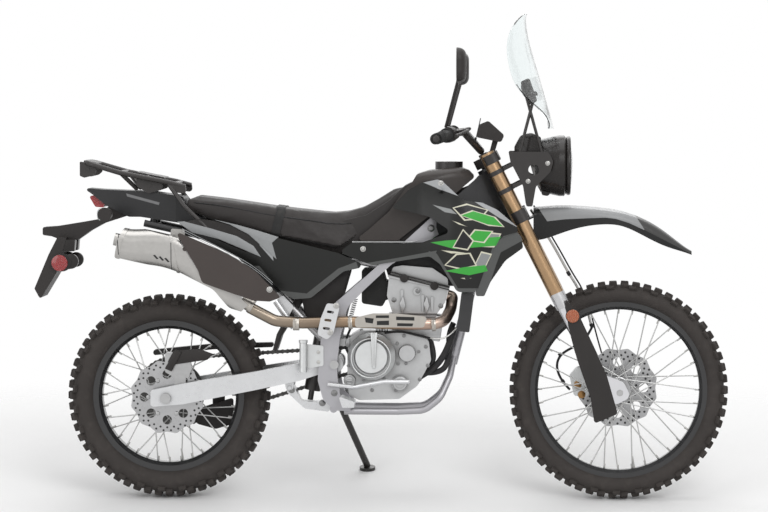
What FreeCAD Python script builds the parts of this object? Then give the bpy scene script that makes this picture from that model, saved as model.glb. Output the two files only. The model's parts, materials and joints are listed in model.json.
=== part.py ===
"""Dual sport motorcycle, leaning on its side stand.

The motorcycle is drawn upright: X forward from the rear axle, Y to its left, Z up from the ground.
Each piece then gets one common placement, which leans it onto the stand. Millimetres throughout.
"""
import FreeCAD, Part
import math
import os
import re
import types

import Sketcher
from FreeCAD import Placement, Rotation, Vector

DRIVING_SIZES = (
    # Chassis geometry
    ("wheelbase", 1440.0),
    ("rake_angle", 26.7),
    ("trail", 107.0),
    ("fork_lead", 23.0),
    ("axle_lead", 38.0),
    ("head_height", 893.0),
    ("clamp_gap", 203.0),
    ("pivot_forward", 537.0),
    ("pivot_height", 436.0),
    ("lean_angle", 9.5),
    ("fit_gap", 0.3),
    # Wheels
    ("front_tyre_radius", 349.0),
    ("front_tyre_width", 88.0),
    ("front_flange_radius", 284.0),
    ("front_rim_bore", 257.0),
    ("front_rim_width", 47.0),
    ("front_disc_radius", 130.0),
    ("front_disc_side", 62.0),
    ("rear_tyre_radius", 326.0),
    ("rear_tyre_width", 118.0),
    ("rear_flange_radius", 243.0),
    ("rear_rim_bore", 215.0),
    ("rear_rim_width", 66.0),
    ("rear_disc_radius", 120.0),
    ("rear_disc_side", 72.0),
    ("rim_wall", 6.0),
    ("lug_height", 12.0),
    ("disc_thickness", 4.0),
    ("spoke_radius", 2.0),
    ("axle_radius", 10.0),
    # Fork and bars
    ("fork_spacing", 196.0),
    ("outer_tube_radius", 24.0),
    ("inner_tube_radius", 20.5),
    ("outer_tube_length", 545.0),
    ("bar_radius", 11.0),
    ("bar_half_width", 405.0),
    # Frame and engine
    ("spar_half_width", 120.0),
    ("spar_thickness", 28.0),
    ("cradle_radius", 11.0),
    ("cradle_half_width", 84.0),
    ("engine_half_width", 88.0),
    ("clutch_cover_radius", 75.0),
    ("generator_cover_radius", 70.0),
    ("pipe_radius", 18.0),
    ("pipe_side", 148.0),
    ("silencer_side", 152.0),
    ("silencer_half_width", 50.0),
    # Drive
    ("chain_side", 73.0),
    ("chain_pitch", 15.875),
    ("chain_width", 18.0),
    ("plate_height", 15.0),
    ("front_sprocket_radius", 35.7),
    ("rear_sprocket_radius", 111.3),
    # Bodywork
    ("seat_half_width", 105.0),
    ("tank_half_width", 92.0),
    ("shroud_half_width", 185.0),
    ("panel_thickness", 4.0),
    ("stand_radius", 11.0),
    ("rack_bolt_radius", 4.3),
    ("rack_plate", 4.0),
)

doc = FreeCAD.newDocument("DualSport")
sheet = doc.addObject("Spreadsheet::Sheet", "Sizes")
for row, (alias, value) in enumerate(DRIVING_SIZES, start=1):
    sheet.set(f"A{row}", alias)
    sheet.set(f"B{row}", str(value))
    sheet.setAlias(f"B{row}", alias)
doc.recompute()
size = types.SimpleNamespace(**{alias: float(sheet.get(alias)) for alias, _ in DRIVING_SIZES})

# Stations of the upright motorcycle: each outline below is given as steps from one of these
RAKE = math.radians(size.rake_angle)
REAR = (0.0, size.rear_tyre_radius)
FRONT = (size.wheelbase, size.front_tyre_radius)
PIVOT = (size.pivot_forward, size.pivot_height)
HEAD = (size.wheelbase + size.trail - size.head_height * math.tan(RAKE), size.head_height)
OUTPUT = (PIVOT[0] + 78.0, PIVOT[1] + 6.0)


# The outlines are drawn for these stations and stretch between the real ones when a driving size changes
DRAWN = {REAR: (0.0, 326.0), PIVOT: (537.0, 436.0), HEAD: (1097.9, 893.0)}


def stretched(value, axis):
    """A drawn coordinate carried over to the real stations, by straight lines between them."""
    marks = [(drawn[axis], real[axis]) for real, drawn in DRAWN.items()]
    if value <= marks[0][0]:
        return value - marks[0][0] + marks[0][1]
    for (low, real_low), (high, real_high) in zip(marks, marks[1:]):
        if value <= high:
            return real_low + (value - low) * (real_high - real_low) / (high - low)
    return value - marks[-1][0] + marks[-1][1]


def along(station, step):
    """The X of a point given as a step from a station."""
    return stretched(DRAWN[station][0] + step, 0)


def above(station, step):
    """The Z of a point given as a step from a station."""
    return stretched(DRAWN[station][1] + step, 1)


def steps(station, *pairs):
    """Points given as steps from a station; a third number is the corner's radius."""
    if station not in DRAWN:
        return [(station[0] + p[0], station[1] + p[1], *p[2:]) for p in pairs]
    return [(along(station, p[0]), above(station, p[1]), *p[2:]) for p in pairs]


# Views: the sketch plane's turn, its normal, and the origin plane of a body
VIEWS = {
    "side": (Rotation(Vector(1, 0, 0), 90), Vector(0, 1, 0), "XZ_Plane"),
    "plan": (Rotation(), Vector(0, 0, 1), "XY_Plane"),
    "front": (Rotation(Vector(1, 1, 1), 120), Vector(1, 0, 0), "YZ_Plane"),
}


def bind(item, name, rule):
    """Set a length from a number, or tie it to the sheet when the rule is written in its words."""
    if isinstance(rule, str):
        item.setExpression(name, re.sub(r"[a-z]\w+", lambda word: "Sizes." + word.group(0), rule))
    else:
        setattr(item, name, rule)


def corner(before, point, after, radius):
    """The arc that rounds one corner of an outline, limited by its two sides."""
    here = Vector(*point)
    to_before = Vector(*before) - here
    to_after = Vector(*after) - here
    half = to_before.getAngle(to_after) / 2
    reach = min(radius / math.tan(half), 0.48 * min(to_before.Length, to_after.Length))
    to_before.normalize()
    to_after.normalize()
    middle = (to_before + to_after).normalize()
    far = reach / math.cos(half)
    bulge = far - reach * math.tan(half)
    return here + to_before * reach, here + middle * bulge, here + to_after * reach


def outline_edges(points, closed=True):
    """Lines and corner arcs through the points (x, y[, radius])."""
    count = len(points)
    flat = [(p[0], p[1], 0.0) for p in points]
    ends = []
    for index, point in enumerate(points):
        rounded = len(point) > 2 and point[2] > 0
        if rounded and (closed or 0 < index < count - 1):
            ends.append(corner(flat[index - 1], flat[index], flat[(index + 1) % count], point[2]))
        else:
            ends.append((Vector(*flat[index]), None, Vector(*flat[index])))
    edges = []
    for index, (_, _, leave) in enumerate(ends):
        if index == count - 1 and not closed:
            break
        arrive = ends[(index + 1) % count]
        if (arrive[0] - leave).Length > 1e-6:
            edges.append(Part.LineSegment(leave, arrive[0]))
        if arrive[1] is not None:
            edges.append(Part.Arc(arrive[0], arrive[1], arrive[2]))
    return edges


def draw(sketch, loop):
    """Add one loop to a sketch: an outline, or a circle given by its centre and radius."""
    if isinstance(loop, dict):
        x, y = loop["centre"]
        index = sketch.addGeometry(Part.Circle(Vector(x, y, 0), Vector(0, 0, 1), 1.0))
        at = sketch.addConstraint(Sketcher.Constraint("Radius", index, 1.0))
        if isinstance(loop["radius"], str):
            bind(sketch, f"Constraints[{at}]", loop["radius"])
        else:
            sketch.setDatum(at, loop["radius"])
    else:
        sketch.addGeometry(outline_edges(loop))


def circle(centre, radius):
    """A circle for draw()."""
    return {"centre": centre, "radius": radius}


def slab(name, view, points, low, high):
    """An outline drawn in a view and extruded along that view's axis from low to high."""
    turn, normal, _ = VIEWS[view]
    sketch = doc.addObject("Sketcher::SketchObject", name + "_outline")
    sketch.Placement = Placement(Vector(), turn)
    draw(sketch, points)
    solid = doc.addObject("Part::Extrusion", name)
    solid.Base = sketch
    solid.DirMode = "Custom"
    solid.Dir = normal
    solid.Solid = True
    bind(solid, "LengthFwd", high)
    bind(solid, "LengthRev", f"0 - ({low})" if isinstance(low, str) else -low)
    return solid


def joined(name, *items):
    """One solid made of several."""
    whole = doc.addObject("Part::MultiFuse", name)
    whole.Shapes = list(items)
    whole.Refine = True
    return whole


def without(name, base, *tools):
    """A solid less others."""
    tool = tools[0] if len(tools) == 1 else joined(name + "_tools", *tools)
    rest = doc.addObject("Part::Cut", name)
    rest.Base = base
    rest.Tool = tool
    rest.Refine = True
    return rest


def shared(name, *items):
    """What several solids have in common."""
    whole = doc.addObject("Part::MultiCommon", name)
    whole.Shapes = list(items)
    whole.Refine = True
    return whole


def group(name, *items):
    """Solids that don't touch, kept as one piece."""
    whole = doc.addObject("Part::Compound", name)
    whole.Links = list(items)
    return whole


def mirrored(item):
    """The same on the other side of the motorcycle."""
    other = doc.addObject("Part::Mirroring", item.Name + "_other")
    other.Source = item
    other.Normal = Vector(0, 1, 0)
    other.Base = Vector(0, 0, 0)
    return other


def placed(item, frame):
    """A copy of an item in another frame."""
    copy = doc.addObject("Part::Compound", item.Name + "_placed")
    copy.Links = [item]
    copy.Placement = frame
    return copy


def rod(name, start, end, radius, end_radius=None):
    """A round bar, or a cone when the end's radius differs."""
    start, end = Vector(*start), Vector(*end)
    along = end - start
    if end_radius is None:
        bar = doc.addObject("Part::Cylinder", name)
        bind(bar, "Radius", radius)
    else:
        bar = doc.addObject("Part::Cone", name)
        bind(bar, "Radius1", radius)
        bind(bar, "Radius2", end_radius)
    bar.Height = along.Length
    bar.Placement = Placement(start, Rotation(Vector(0, 0, 1), along))
    return bar


def across(name, centre, radius, low, high):
    """A round bar along Y between two sides."""
    return rod(name, (centre[0], low, centre[1]), (centre[0], high, centre[1]), radius)


def bent_path(name, points, bend):
    """Straight runs joined by tangent arcs."""
    points = [Vector(*p) for p in points]
    edges = []
    at = points[0]
    for before, here, after in zip(points, points[1:], points[2:]):
        into, out = before - here, after - here
        half = into.getAngle(out) / 2
        reach = min(bend / math.tan(half), 0.45 * min(into.Length, out.Length))
        into.normalize()
        out.normalize()
        bulge = reach / math.cos(half) - reach * math.tan(half)
        start, stop = here + into * reach, here + out * reach
        edges.append(Part.LineSegment(at, start).toShape())
        edges.append(Part.Arc(start, here + (into + out).normalize() * bulge, stop).toShape())
        at = stop
    edges.append(Part.LineSegment(at, points[-1]).toShape())
    path = doc.addObject("Part::Feature", name)
    path.Shape = Part.Wire(edges)
    return path


def tube(name, points, radius, bend=40.0):
    """A round tube along straight runs and arcs."""
    path = bent_path(name + "_path", points, bend)
    ring = doc.addObject("Part::Circle", name + "_ring")
    bind(ring, "Radius", radius)
    start = Vector(*points[0])
    ring.Placement = Placement(start, Rotation(Vector(0, 0, 1), Vector(*points[1]) - start))
    bar = doc.addObject("Part::Sweep", name)
    bar.Sections = [ring]
    bar.Spine = (path, [f"Edge{i + 1}" for i in range(len(path.Shape.Edges))])
    bar.Solid = True
    bar.Frenet = False
    return bar


def section(name, view, depth, points):
    """A closed wire of lines and corner arcs in a view, at a depth along its axis."""
    turn, normal, _ = VIEWS[view]
    wire = Part.Wire([edge.toShape() for edge in outline_edges(points)])
    wire.Placement = Placement(normal * depth, turn)
    item = doc.addObject("Part::Feature", name)
    item.Shape = wire
    return item


def lofted(name, view, sections):
    """A smooth solid through outlines, each given as (depth, points) with as many corners."""
    loft = doc.addObject("Part::Loft", name)
    loft.Sections = [section(f"{name}_section{i}", view, *level) for i, level in enumerate(sections)]
    loft.Solid = True
    return loft


def arch(half, low, top, wall, side_drop=12.0, soft=24.0):
    """The crescent section of a fender: an arch of one wall thickness, open below."""
    inner, under = half - wall, top - wall
    return [(-half, low), (-half * 0.96, top - side_drop, soft), (0.0, top, 200.0), (half * 0.96, top - side_drop, soft),
            (half, low), (inner, low), (inner * 0.94, under - side_drop, soft - wall), (0.0, under, 200.0),
            (-inner * 0.94, under - side_drop, soft - wall), (-inner, low)]


def loaf(half, foot, low, top, soft, crown=6.0):
    """A rounded section: crowned on top, foot is its half width at the bottom."""
    return [(-foot, low, 6.0), (-half, (low + top) / 2, 60.0), (-half * 0.94, top - crown, soft), (0.0, top, 300.0),
            (half * 0.94, top - crown, soft), (half, (low + top) / 2, 60.0), (foot, low, 6.0)]


class Body:
    """A PartDesign body with sketches placed by view, origin and depth."""

    def __init__(self, name, origin=(0.0, 0.0, 0.0)):
        self.item = doc.addObject("PartDesign::Body", name)
        self.origin = origin
        self.count = 0

    def sketch(self, view, points, depth=0.0):
        """A sketch in a view; its own origin is the body's origin seen in that view."""
        x, y, z = self.origin
        self.count += 1
        sketch = self.item.newObject("Sketcher::SketchObject", f"{self.item.Name}_sketch{self.count}")
        role = VIEWS[view][2]
        plane = [f for f in self.item.Origin.OriginFeatures if f.Role == role][0]
        sketch.AttachmentSupport = [(plane, "")]
        sketch.MapMode = "FlatFace"
        offset = {"side": Vector(x, z, -y - depth), "plan": Vector(x, y, z + depth),
                  "front": Vector(y, z, x + depth)}[view]
        sketch.AttachmentOffset = Placement(offset, Rotation())
        loops = points if isinstance(points, list) and isinstance(points[0], (list, dict)) else [points]
        for loop in loops:
            draw(sketch, loop)
        return sketch

    def turn(self, view, points, axis):
        """A solid of revolution about the sketch's own H_Axis or V_Axis."""
        sketch = self.sketch(view, points)
        solid = self.item.newObject("PartDesign::Revolution", f"{self.item.Name}_turned{self.count}")
        solid.Profile = sketch
        solid.ReferenceAxis = (sketch, [axis])
        solid.Angle = 360.0
        return solid

    def pad(self, view, points, low, length):
        """An outline padded along +X, +Y or +Z from a depth."""
        sketch = self.sketch(view, points, low)
        solid = self.item.newObject("PartDesign::Pad", f"{self.item.Name}_pad{self.count}")
        solid.Profile = sketch
        solid.Reversed = view == "side"
        bind(solid, "Length", length)
        return solid

    def pocket(self, view, points, depth=0.0):
        """An outline cut right through both ways."""
        sketch = self.sketch(view, points, depth)
        hole = self.item.newObject("PartDesign::Pocket", f"{self.item.Name}_cut{self.count}")
        hole.Profile = sketch
        hole.Type = "ThroughAll"
        hole.Midplane = True
        return hole

    def repeat(self, feature, count):
        """A feature repeated round the normal of its own sketch."""
        ring = self.item.newObject("PartDesign::PolarPattern", f"{self.item.Name}_ring{self.count}")
        ring.Originals = [feature]
        ring.Axis = (feature.Profile[0], ["N_Axis"])
        ring.Angle = 360.0
        ring.Occurrences = count
        self.item.Tip = ring
        return ring


# Parking placement: the wheels' lowest points and the stand's foot all touch the ground
LEAN = math.radians(size.lean_angle)


def crown(width, radius, flange):
    """The outer half profile of a tyre as (side, radius) points, from the middle to the bead."""
    side = width / 2
    drop = radius - flange
    return [(0.0, radius), (0.34 * side, radius - 0.02 * drop), (0.66 * side, radius - 0.12 * drop),
            (0.90 * side, radius - 0.26 * drop), (side, radius - 0.40 * drop),
            (0.93 * side, radius - 0.72 * drop), (0.64 * side, flange)]


FRONT_CROWN = crown(size.front_tyre_width, size.front_tyre_radius, size.front_flange_radius)
REAR_CROWN = crown(size.rear_tyre_width, size.rear_tyre_radius, size.rear_flange_radius)


def leaned_height(points):
    """Height of an axle whose leaning tyre touches the ground."""
    return max(r * math.cos(LEAN) + y * math.sin(LEAN) for y, r in points)


def park_placement():
    """Lean to the left, then pitch and lift so that both tyres touch the ground."""
    lean = Rotation(Vector(1, 0, 0), -size.lean_angle)
    rear = leaned_height(REAR_CROWN) - REAR[1] * math.cos(LEAN)
    front = leaned_height(FRONT_CROWN) - FRONT[1] * math.cos(LEAN)
    pitch = Rotation(Vector(0, 1, 0), -math.degrees(math.atan((front - rear) / size.wheelbase)))
    return Placement(Vector(0, 0, rear), pitch.multiply(lean))


LEANED = park_placement()
STAND_PIVOT = Vector(along(PIVOT, -10.0), size.spar_half_width + 24.0, above(PIVOT, -122.0))
PIVOT_ON_GROUND = LEANED.multVec(STAND_PIVOT)
FOOT_FORWARD = 96.0
FOOT_SPREAD = 118.0
FOOT_ON_GROUND = Vector(PIVOT_ON_GROUND.x + FOOT_FORWARD, PIVOT_ON_GROUND.y + FOOT_SPREAD, 0.0)
FOOT = LEANED.inverse().multVec(FOOT_ON_GROUND)
# The stand folds from its leg's direction back along the chassis: the hinge is square to both
FOLDED = Vector(-0.98, 0.12, 0.1)
STAND_AXIS = (FOOT - STAND_PIVOT).cross(FOLDED).normalize()
# Frame of the fork: Z up along the steering axis from the lower clamp, X forward
FORK_FRAME = Placement(Vector(HEAD[0], 0.0, HEAD[1]), Rotation(Vector(0, 1, 0), -size.rake_angle))

PIECES = []


def piece(label, item, frame=None):
    """Name a finished item as a piece of the motorcycle and park it."""
    item = item.item if isinstance(item, Body) else item
    if item.TypeId in ("Part::Cylinder", "Part::Cone"):
        item.Label = label + "_bar"
        item = group(label + "_piece", item)
    item.Label = label
    item.Placement = LEANED.multiply(frame) if frame else LEANED
    PIECES.append(item)
    return item


# Wheels

def tyre(label, centre, profile, flange_radius, rim_width, bead_wall, rows):
    """A tyre with lugs: rows of middle lugs and, half a pitch on, rows of shoulder lugs."""
    body = Body(label + "_carcass", (centre[0], 0.0, centre[1]))
    seat = rim_width / 2 - size.rim_wall - size.fit_gap
    bead = flange_radius + size.fit_gap
    sunk = [(y * (1 - 0.14 * (r > flange_radius + 20)), r - size.lug_height * (r > flange_radius + 24)) for y, r in profile[:5]]
    half = sunk + [profile[5], (0.64 * profile[4][0], bead), (seat, bead), (seat, flange_radius - bead_wall)]
    body.turn("front", [(-y, r) for y, r in reversed(half)] + half[1:], "H_Axis")
    crest = Body(label + "_crest", (centre[0], 0.0, centre[1]))
    floor = sunk[0][1] - 6.0
    top = [(-y, r) for y, r in reversed(profile[:5])] + profile[1:5]
    edge, shoulder = profile[4], profile[3]
    crest.turn("front", top + [(edge[0] - 3.0, edge[1] - 14.0), (shoulder[0] - 14.0, shoulder[1] - 22.0), (0.0, floor),
                               (14.0 - shoulder[0], shoulder[1] - 22.0), (3.0 - edge[0], edge[1] - 14.0)], "H_Axis")
    parts = []
    for kind, (low, high), turn, share in (("middle", (0.10, 0.50), 0.0, 0.52), ("shoulder", (0.62, 1.2), 0.5, 0.56)):
        bars = Body(f"{label}_{kind}", (centre[0], 0.0, centre[1]))
        pitch = 2 * math.pi / rows
        wide = share * pitch * profile[0][1] / 2
        angle = pitch * turn
        along, aside = Vector(math.cos(angle), math.sin(angle), 0), Vector(-math.sin(angle), math.cos(angle), 0)
        corners = [along * reach + aside * side for reach, side in ((flange_radius + 24.0, -wide), (profile[0][1] + 5.0, -wide),
                                                                   (profile[0][1] + 5.0, wide), (flange_radius + 24.0, wide))]
        half_width = profile[4][0]
        first = bars.pad("side", [(c.x, c.y) for c in corners], low * half_width, (high - low) * half_width)
        bars.repeat(first, rows)
        rows_of_lugs = shared(f"{label}_{kind}_lugs", bars.item, crest.item)
        parts += [rows_of_lugs, mirrored(rows_of_lugs)]
    return piece(label, joined(label, body.item, *parts))


def rim(label, hub_label, centre, flange_radius, bore, width, hub_radius, hub_half, spokes):
    """A rim with its spokes, which reach down to the hub's flanges."""
    body = Body(label + "_ring", (centre[0], 0.0, centre[1]))
    half, wall = width / 2, size.rim_wall
    floor = bore + wall
    body.turn("front", [(-half, flange_radius), (-half, bore + 10.0), (-half * 0.55, bore), (half * 0.55, bore),
                        (half, bore + 10.0), (half, flange_radius), (half - wall, flange_radius),
                        (half - wall, floor + 8.0), (half * 0.4, floor), (-half * 0.4, floor),
                        (-half + wall, floor + 8.0), (-half + wall, flange_radius)], "H_Axis")
    bars = []
    for index in range(spokes):
        side = 1 if index % 2 else -1
        at_rim = 2 * math.pi * index / spokes
        slant = math.radians(58.0) * (1 if index % 4 < 2 else -1)
        start = at_rim + slant
        foot = hub_radius + size.spoke_radius + size.fit_gap
        bars.append(rod(f"{label}_spoke{index}",
                        (centre[0] + foot * math.cos(start), side * hub_half, centre[1] + foot * math.sin(start)),
                        (centre[0] + (bore + 3.0) * math.cos(at_rim), side * 4.0,
                         centre[1] + (bore + 3.0) * math.sin(at_rim)), "spoke_radius"))
    return piece(label, joined(label, body.item, *bars))


def hub(label, centre, radius, half, disc_side, disc_radius, lobes):
    """A hub with its bore and two spoke flanges, and the brake disc bolted to one end."""
    body = Body(label, (centre[0], 0.0, centre[1]))
    bore = size.axle_radius + size.fit_gap
    neck, barrel = radius * 0.62, radius * 0.6
    face = abs(disc_side) - size.disc_thickness / 2
    low, high = (-half - 24.0, face) if disc_side > 0 else (-face, half + 24.0)
    body.turn("front", [(low, bore), (high, bore), (high, neck), (half, neck), (half, radius),
                        (half - 7.0, radius), (half - 14.0, barrel), (-half + 14.0, barrel),
                        (-half + 7.0, radius), (-half, radius), (-half, neck), (low, neck)], "H_Axis")
    start = disc_side - size.disc_thickness / 2
    petals = []
    for index in range(2 * lobes + 8):
        angle = math.pi * index / (lobes + 4)
        reach = disc_radius if index % 2 else disc_radius - 9.0
        petals.append((reach * math.cos(angle), reach * math.sin(angle), 14.0))
    body.pad("side", [petals, circle((0, 0), bore)], start, "disc_thickness")
    ring = disc_radius - 17.0
    window = body.pocket("side", circle(((ring - 30.0), 0.0), 15.0), disc_side)
    body.repeat(window, lobes)
    return piece(label, body)


front_tyre = tyre("front_tyre", FRONT, FRONT_CROWN, size.front_flange_radius, size.front_rim_width, 12.0, 29)
front_rim = rim("front_rim", "front_hub", FRONT, size.front_flange_radius, size.front_rim_bore,
                size.front_rim_width, 38.0, 24.0, 36)
front_hub = hub("front_hub", FRONT, 38.0, 28.0, size.front_disc_side, size.front_disc_radius, 8)
rear_tyre = tyre("rear_tyre", REAR, REAR_CROWN, size.rear_flange_radius, size.rear_rim_width, 14.0, 28)
rear_rim = rim("rear_rim", "rear_hub", REAR, size.rear_flange_radius, size.rear_rim_bore,
               size.rear_rim_width, 50.0, 30.0, 36)
rear_hub = hub("rear_hub", REAR, 50.0, 34.0, -size.rear_disc_side, size.rear_disc_radius, 8)


def sprocket(label, centre, radius, side):
    """A chain wheel whose teeth end inside the rollers."""
    body = Body(label, (centre[0], 0.0, centre[1]))
    tip = radius - 5.6
    body.pad("side", [circle((0, 0), tip), circle((0, 0), size.axle_radius + size.fit_gap)], side - 3.2, 6.4)
    return body


rear_sprocket = piece("rear_sprocket", sprocket("rear_sprocket", REAR, size.rear_sprocket_radius, size.chain_side))

# Frame: perimeter spars, head tube, engine cradle and pivot plates

def fork_point(forward, up, side=0.0):
    """A point of the fork's frame as a point of the upright motorcycle."""
    return tuple(FORK_FRAME.multVec(Vector(forward, side, up)))


SPAR_TOP = steps(HEAD, (-82, 156), (-168, 82), (-252, 12, 60), (-378, -103, 60), (-478, -192, 60), (-559, -262, 60))
SPAR_SIDE = (SPAR_TOP + steps(PIVOT, (-43, 76, 60), (-53, -50, 40), (-36, -112, 20), (0, -146, 12), (52, -148, 8),
                              (52, -130, 8), (20, -104, 20), (10, -54, 30), (8, 4, 40), (18, 84, 60), (40, 180, 60),
                              (95, 237, 60))
             + steps(HEAD, (-382, -141, 60), (-228, -43, 60), (-26, 40)))
TALL = HEAD[1] + 700.0
PLAN_REAR = along(PIVOT, -60.0)


def spar_plan(outer):
    """The plan of one spar, from the head tube out to the pivot plates."""
    inner = outer - size.spar_thickness
    return [(PLAN_REAR, inner), (along(HEAD, -398), inner, 80), (along(HEAD, -248), inner - 26, 80),
            (along(HEAD, -108), inner - 68, 60), (along(HEAD, -30), 0), (along(HEAD, 10), 0), (along(HEAD, 10), 20),
            (along(HEAD, -20), 27, 30), (along(HEAD, -108), outer - 72, 60), (along(HEAD, -248), outer - 26, 80),
            (along(HEAD, -398), outer, 80), (PLAN_REAR, outer)]


left_spar = shared("left_spar", slab("spar_side", "side", SPAR_SIDE, 0.0, "spar_half_width"),
                   slab("spar_plan", "plan", spar_plan(size.spar_half_width), 0.0, TALL))
head_tube = rod("head_tube", fork_point(0, 24), fork_point(0, size.clamp_gap - 20), 30.0)
stem_bore = rod("stem_bore", fork_point(0, 0), fork_point(0, size.clamp_gap), 15.0)
link_cross = across("link_cross", steps(PIVOT, (-3, -142))[0], 12.0, -size.spar_half_width + 5, size.spar_half_width - 5)
shock_cross = across("shock_cross", steps(PIVOT, (16.4, 190))[0], 14.0, -size.spar_half_width + 5, size.spar_half_width - 5)
DOWN_TOP, DOWN_FOOT = fork_point(-24, 80), (along(HEAD, -190), 0.0, above(HEAD, -462))
CRADLE_SIDE = size.cradle_half_width
CRADLE = [(along(HEAD, -184), 6.0, above(HEAD, -440)), (along(HEAD, -196), 46.0, above(HEAD, -500)),
          (along(HEAD, -226), CRADLE_SIDE, above(HEAD, -566)), (along(PIVOT, 285), CRADLE_SIDE, above(PIVOT, -148)),
          (along(PIVOT, 200), CRADLE_SIDE, above(PIVOT, -152)), (along(PIVOT, 30), CRADLE_SIDE + 14, above(PIVOT, -150))]
downtube = rod("downtube", DOWN_TOP, DOWN_FOOT, 17.0)
left_cradle = tube("left_cradle", CRADLE, "cradle_radius", 60.0)
stand_stud = rod("stand_stud", STAND_PIVOT - STAND_AXIS * 34.0, STAND_PIVOT + STAND_AXIS * 16.0, 7.5)
stud_head = rod("stud_head", STAND_PIVOT + STAND_AXIS * 13.0, STAND_PIVOT + STAND_AXIS * 18.0, 12.0)
frame_whole = joined("frame_whole", left_spar, mirrored(left_spar), head_tube, shock_cross, link_cross, downtube,
                     left_cradle, mirrored(left_cradle), stand_stud, stud_head)
pivot_bore = across("pivot_bore", PIVOT, 9.0, -140.0, 140.0)
main_frame = piece("main_frame", without("main_frame", frame_whole, stem_bore, pivot_bore))

RAIL_SIDE = size.spar_half_width - size.spar_thickness - size.cradle_radius - size.fit_gap
RAIL = [(along(HEAD, -400), above(HEAD, -150)), (along(HEAD, -470), above(HEAD, -134)), (along(REAR, 350), above(REAR, 466)), (along(REAR, 100), above(REAR, 518)),
        (along(REAR, -70), above(REAR, 556))]
STRUT = [(along(PIVOT, -16), above(PIVOT, 52)), (along(REAR, 372), above(REAR, 318)), (along(REAR, 190), above(REAR, 500))]


def rail(name, points, half):
    """A tube in a side plane of the motorcycle."""
    return tube(name, [(x, half, z) for x, z in points], "cradle_radius", 120.0)


upper_rail = rail("upper_rail", RAIL, RAIL_SIDE)
lower_strut = rail("lower_strut", STRUT, RAIL_SIDE)
rail_cross = [across(f"rail_cross{i}", (along(REAR, x), above(REAR, z)), 8.0, -RAIL_SIDE, RAIL_SIDE)
              for i, (x, z) in enumerate(((330, 470), (-40, 549)))]
subframe = piece("subframe", joined("subframe", upper_rail, mirrored(upper_rail), lower_strut, mirrored(lower_strut),
                                    *rail_cross))

# Engine

CASE_SIDE = steps(PIVOT, (40, 40, 12), (46, 84, 12), (84, 106, 12), (187, 106, 12), (298, 78, 16), (306, 11, 20),
                  (262, -70, 20), (205, -112, 16), (77, -116, 16), (44, -100, 12), (40, -40, 12))
CASE_SEAM = steps(PIVOT, (37, 40, 12), (43, 80, 12), (84, 97, 12), (188, 97, 12), (301, 72, 16), (309, 11, 20),
                  (264, -72, 20), (206, -115, 16), (76, -119, 16), (41, -102, 12), (37, -40, 12))
case = without(
    "case", slab("case_block", "side", CASE_SIDE, "0 - engine_half_width", "engine_half_width"),
    slab("output_well", "side", steps(OUTPUT, (-80, -140), (30, -140), (54, -30, 40), (54, 30, 40), (30, 66), (-80, 66)),
         size.chain_side - 15.0, 130.0))
mount_ear = slab("mount_ear", "side", steps(PIVOT, (5, 57, 6), (46.5, 57), (46.5, 80), (8, 80, 6)), 50.0,
                 size.spar_half_width - size.spar_thickness - size.fit_gap)
pump_cover = rod("pump_cover", (along(PIVOT, 230), -size.engine_half_width + 10, above(PIVOT, 35)),
                 (along(PIVOT, 230), -size.engine_half_width - 20, above(PIVOT, 35)), 29.0, 25.0)
filter_cover = rod("filter_cover", (along(PIVOT, 206), -size.engine_half_width + 10, above(PIVOT, -62)),
                   (along(PIVOT, 206), -size.engine_half_width - 12, above(PIVOT, -62)), 25.0)
case_seam = slab("case_seam", "side", CASE_SEAM, -3.0, 3.0)
crankcase = piece("crankcase", joined("crankcase", case, mount_ear, mirrored(mount_ear), pump_cover, filter_cover, case_seam))
COVER_SIDE = steps(HEAD, (-388, -179, 6), (-376, -150, 10), (-346, -145, 10), (-252, -153, 10), (-203, -186, 10),
                   (-201, -221, 4), (-389, -180, 4))
HEAD_SIDE = steps(HEAD, (-389, -180.3, 4), (-201, -221.3, 4), (-211, -262, 8), (-236, -297, 8), (-378, -297, 8),
                  (-396, -240, 8))
BARREL_SIDE = steps(HEAD, (-380, -297), (-236, -297), (-262, -350.4), (-374, -350.4))
head_block = slab("head_block", "side", HEAD_SIDE, -74.0, 74.0)
GASKET = steps(HEAD, (-393, -174, 3), (-198, -216.5, 3), (-198, -224.5, 3), (-393, -182, 3))
gasket = slab("gasket", "side", GASKET, -78.0, 78.0)
plugs = [across(f"plug{i}", (along(HEAD, x), above(HEAD, z)), 13.0, -71.0, 71.0) for i, (x, z) in enumerate(((-341, -187), (-245, -207)))]
plug_bolt = across("plug_bolt", (along(HEAD, -300), above(HEAD, -227)), 12.0, -79.0, 79.0)
head_ribs = [slab(f"head_rib{i}", "side", steps(HEAD, (x - 5, z, 4), (x + 5, z, 4), (x + 2, -292, 2), (x - 2, -292, 2)), -78.0, 78.0)
             for i, (x, z) in enumerate(((-348, -222), (-282, -238), (-252, -244)))]
FINS = [slab(f"barrel_fin{i}", "side", steps(HEAD, (-382, z), (-238, z), (-240, z - 4), (-380, z - 4)), -66.0, 66.0) for i, z in enumerate((-304, -316, -328))]
cylinder = piece("cylinder", joined(
    "cylinder", slab("cam_cover", "side", COVER_SIDE, -66.0, 66.0), head_block, gasket, *plugs, plug_bolt, *head_ribs, *FINS,
    slab("barrel", "side", BARREL_SIDE, -60.0, 60.0)))


def engine_cover(name, centre, radius, low, out, boss):
    """A round cover with a raised middle on one side of the engine."""
    sign = 1 if low > 0 else -1
    body = Body(name, (centre[0], 0.0, centre[1]))
    body.turn("front", [(low, 0.0), (low, radius), (low + sign * out * 0.6, radius), (low + sign * out, radius - 16),
                        (low + sign * out, boss), (low + sign * (out + 12), boss - 6), (low + sign * (out + 12), 0.0)],
              "H_Axis")
    return body.item


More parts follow.
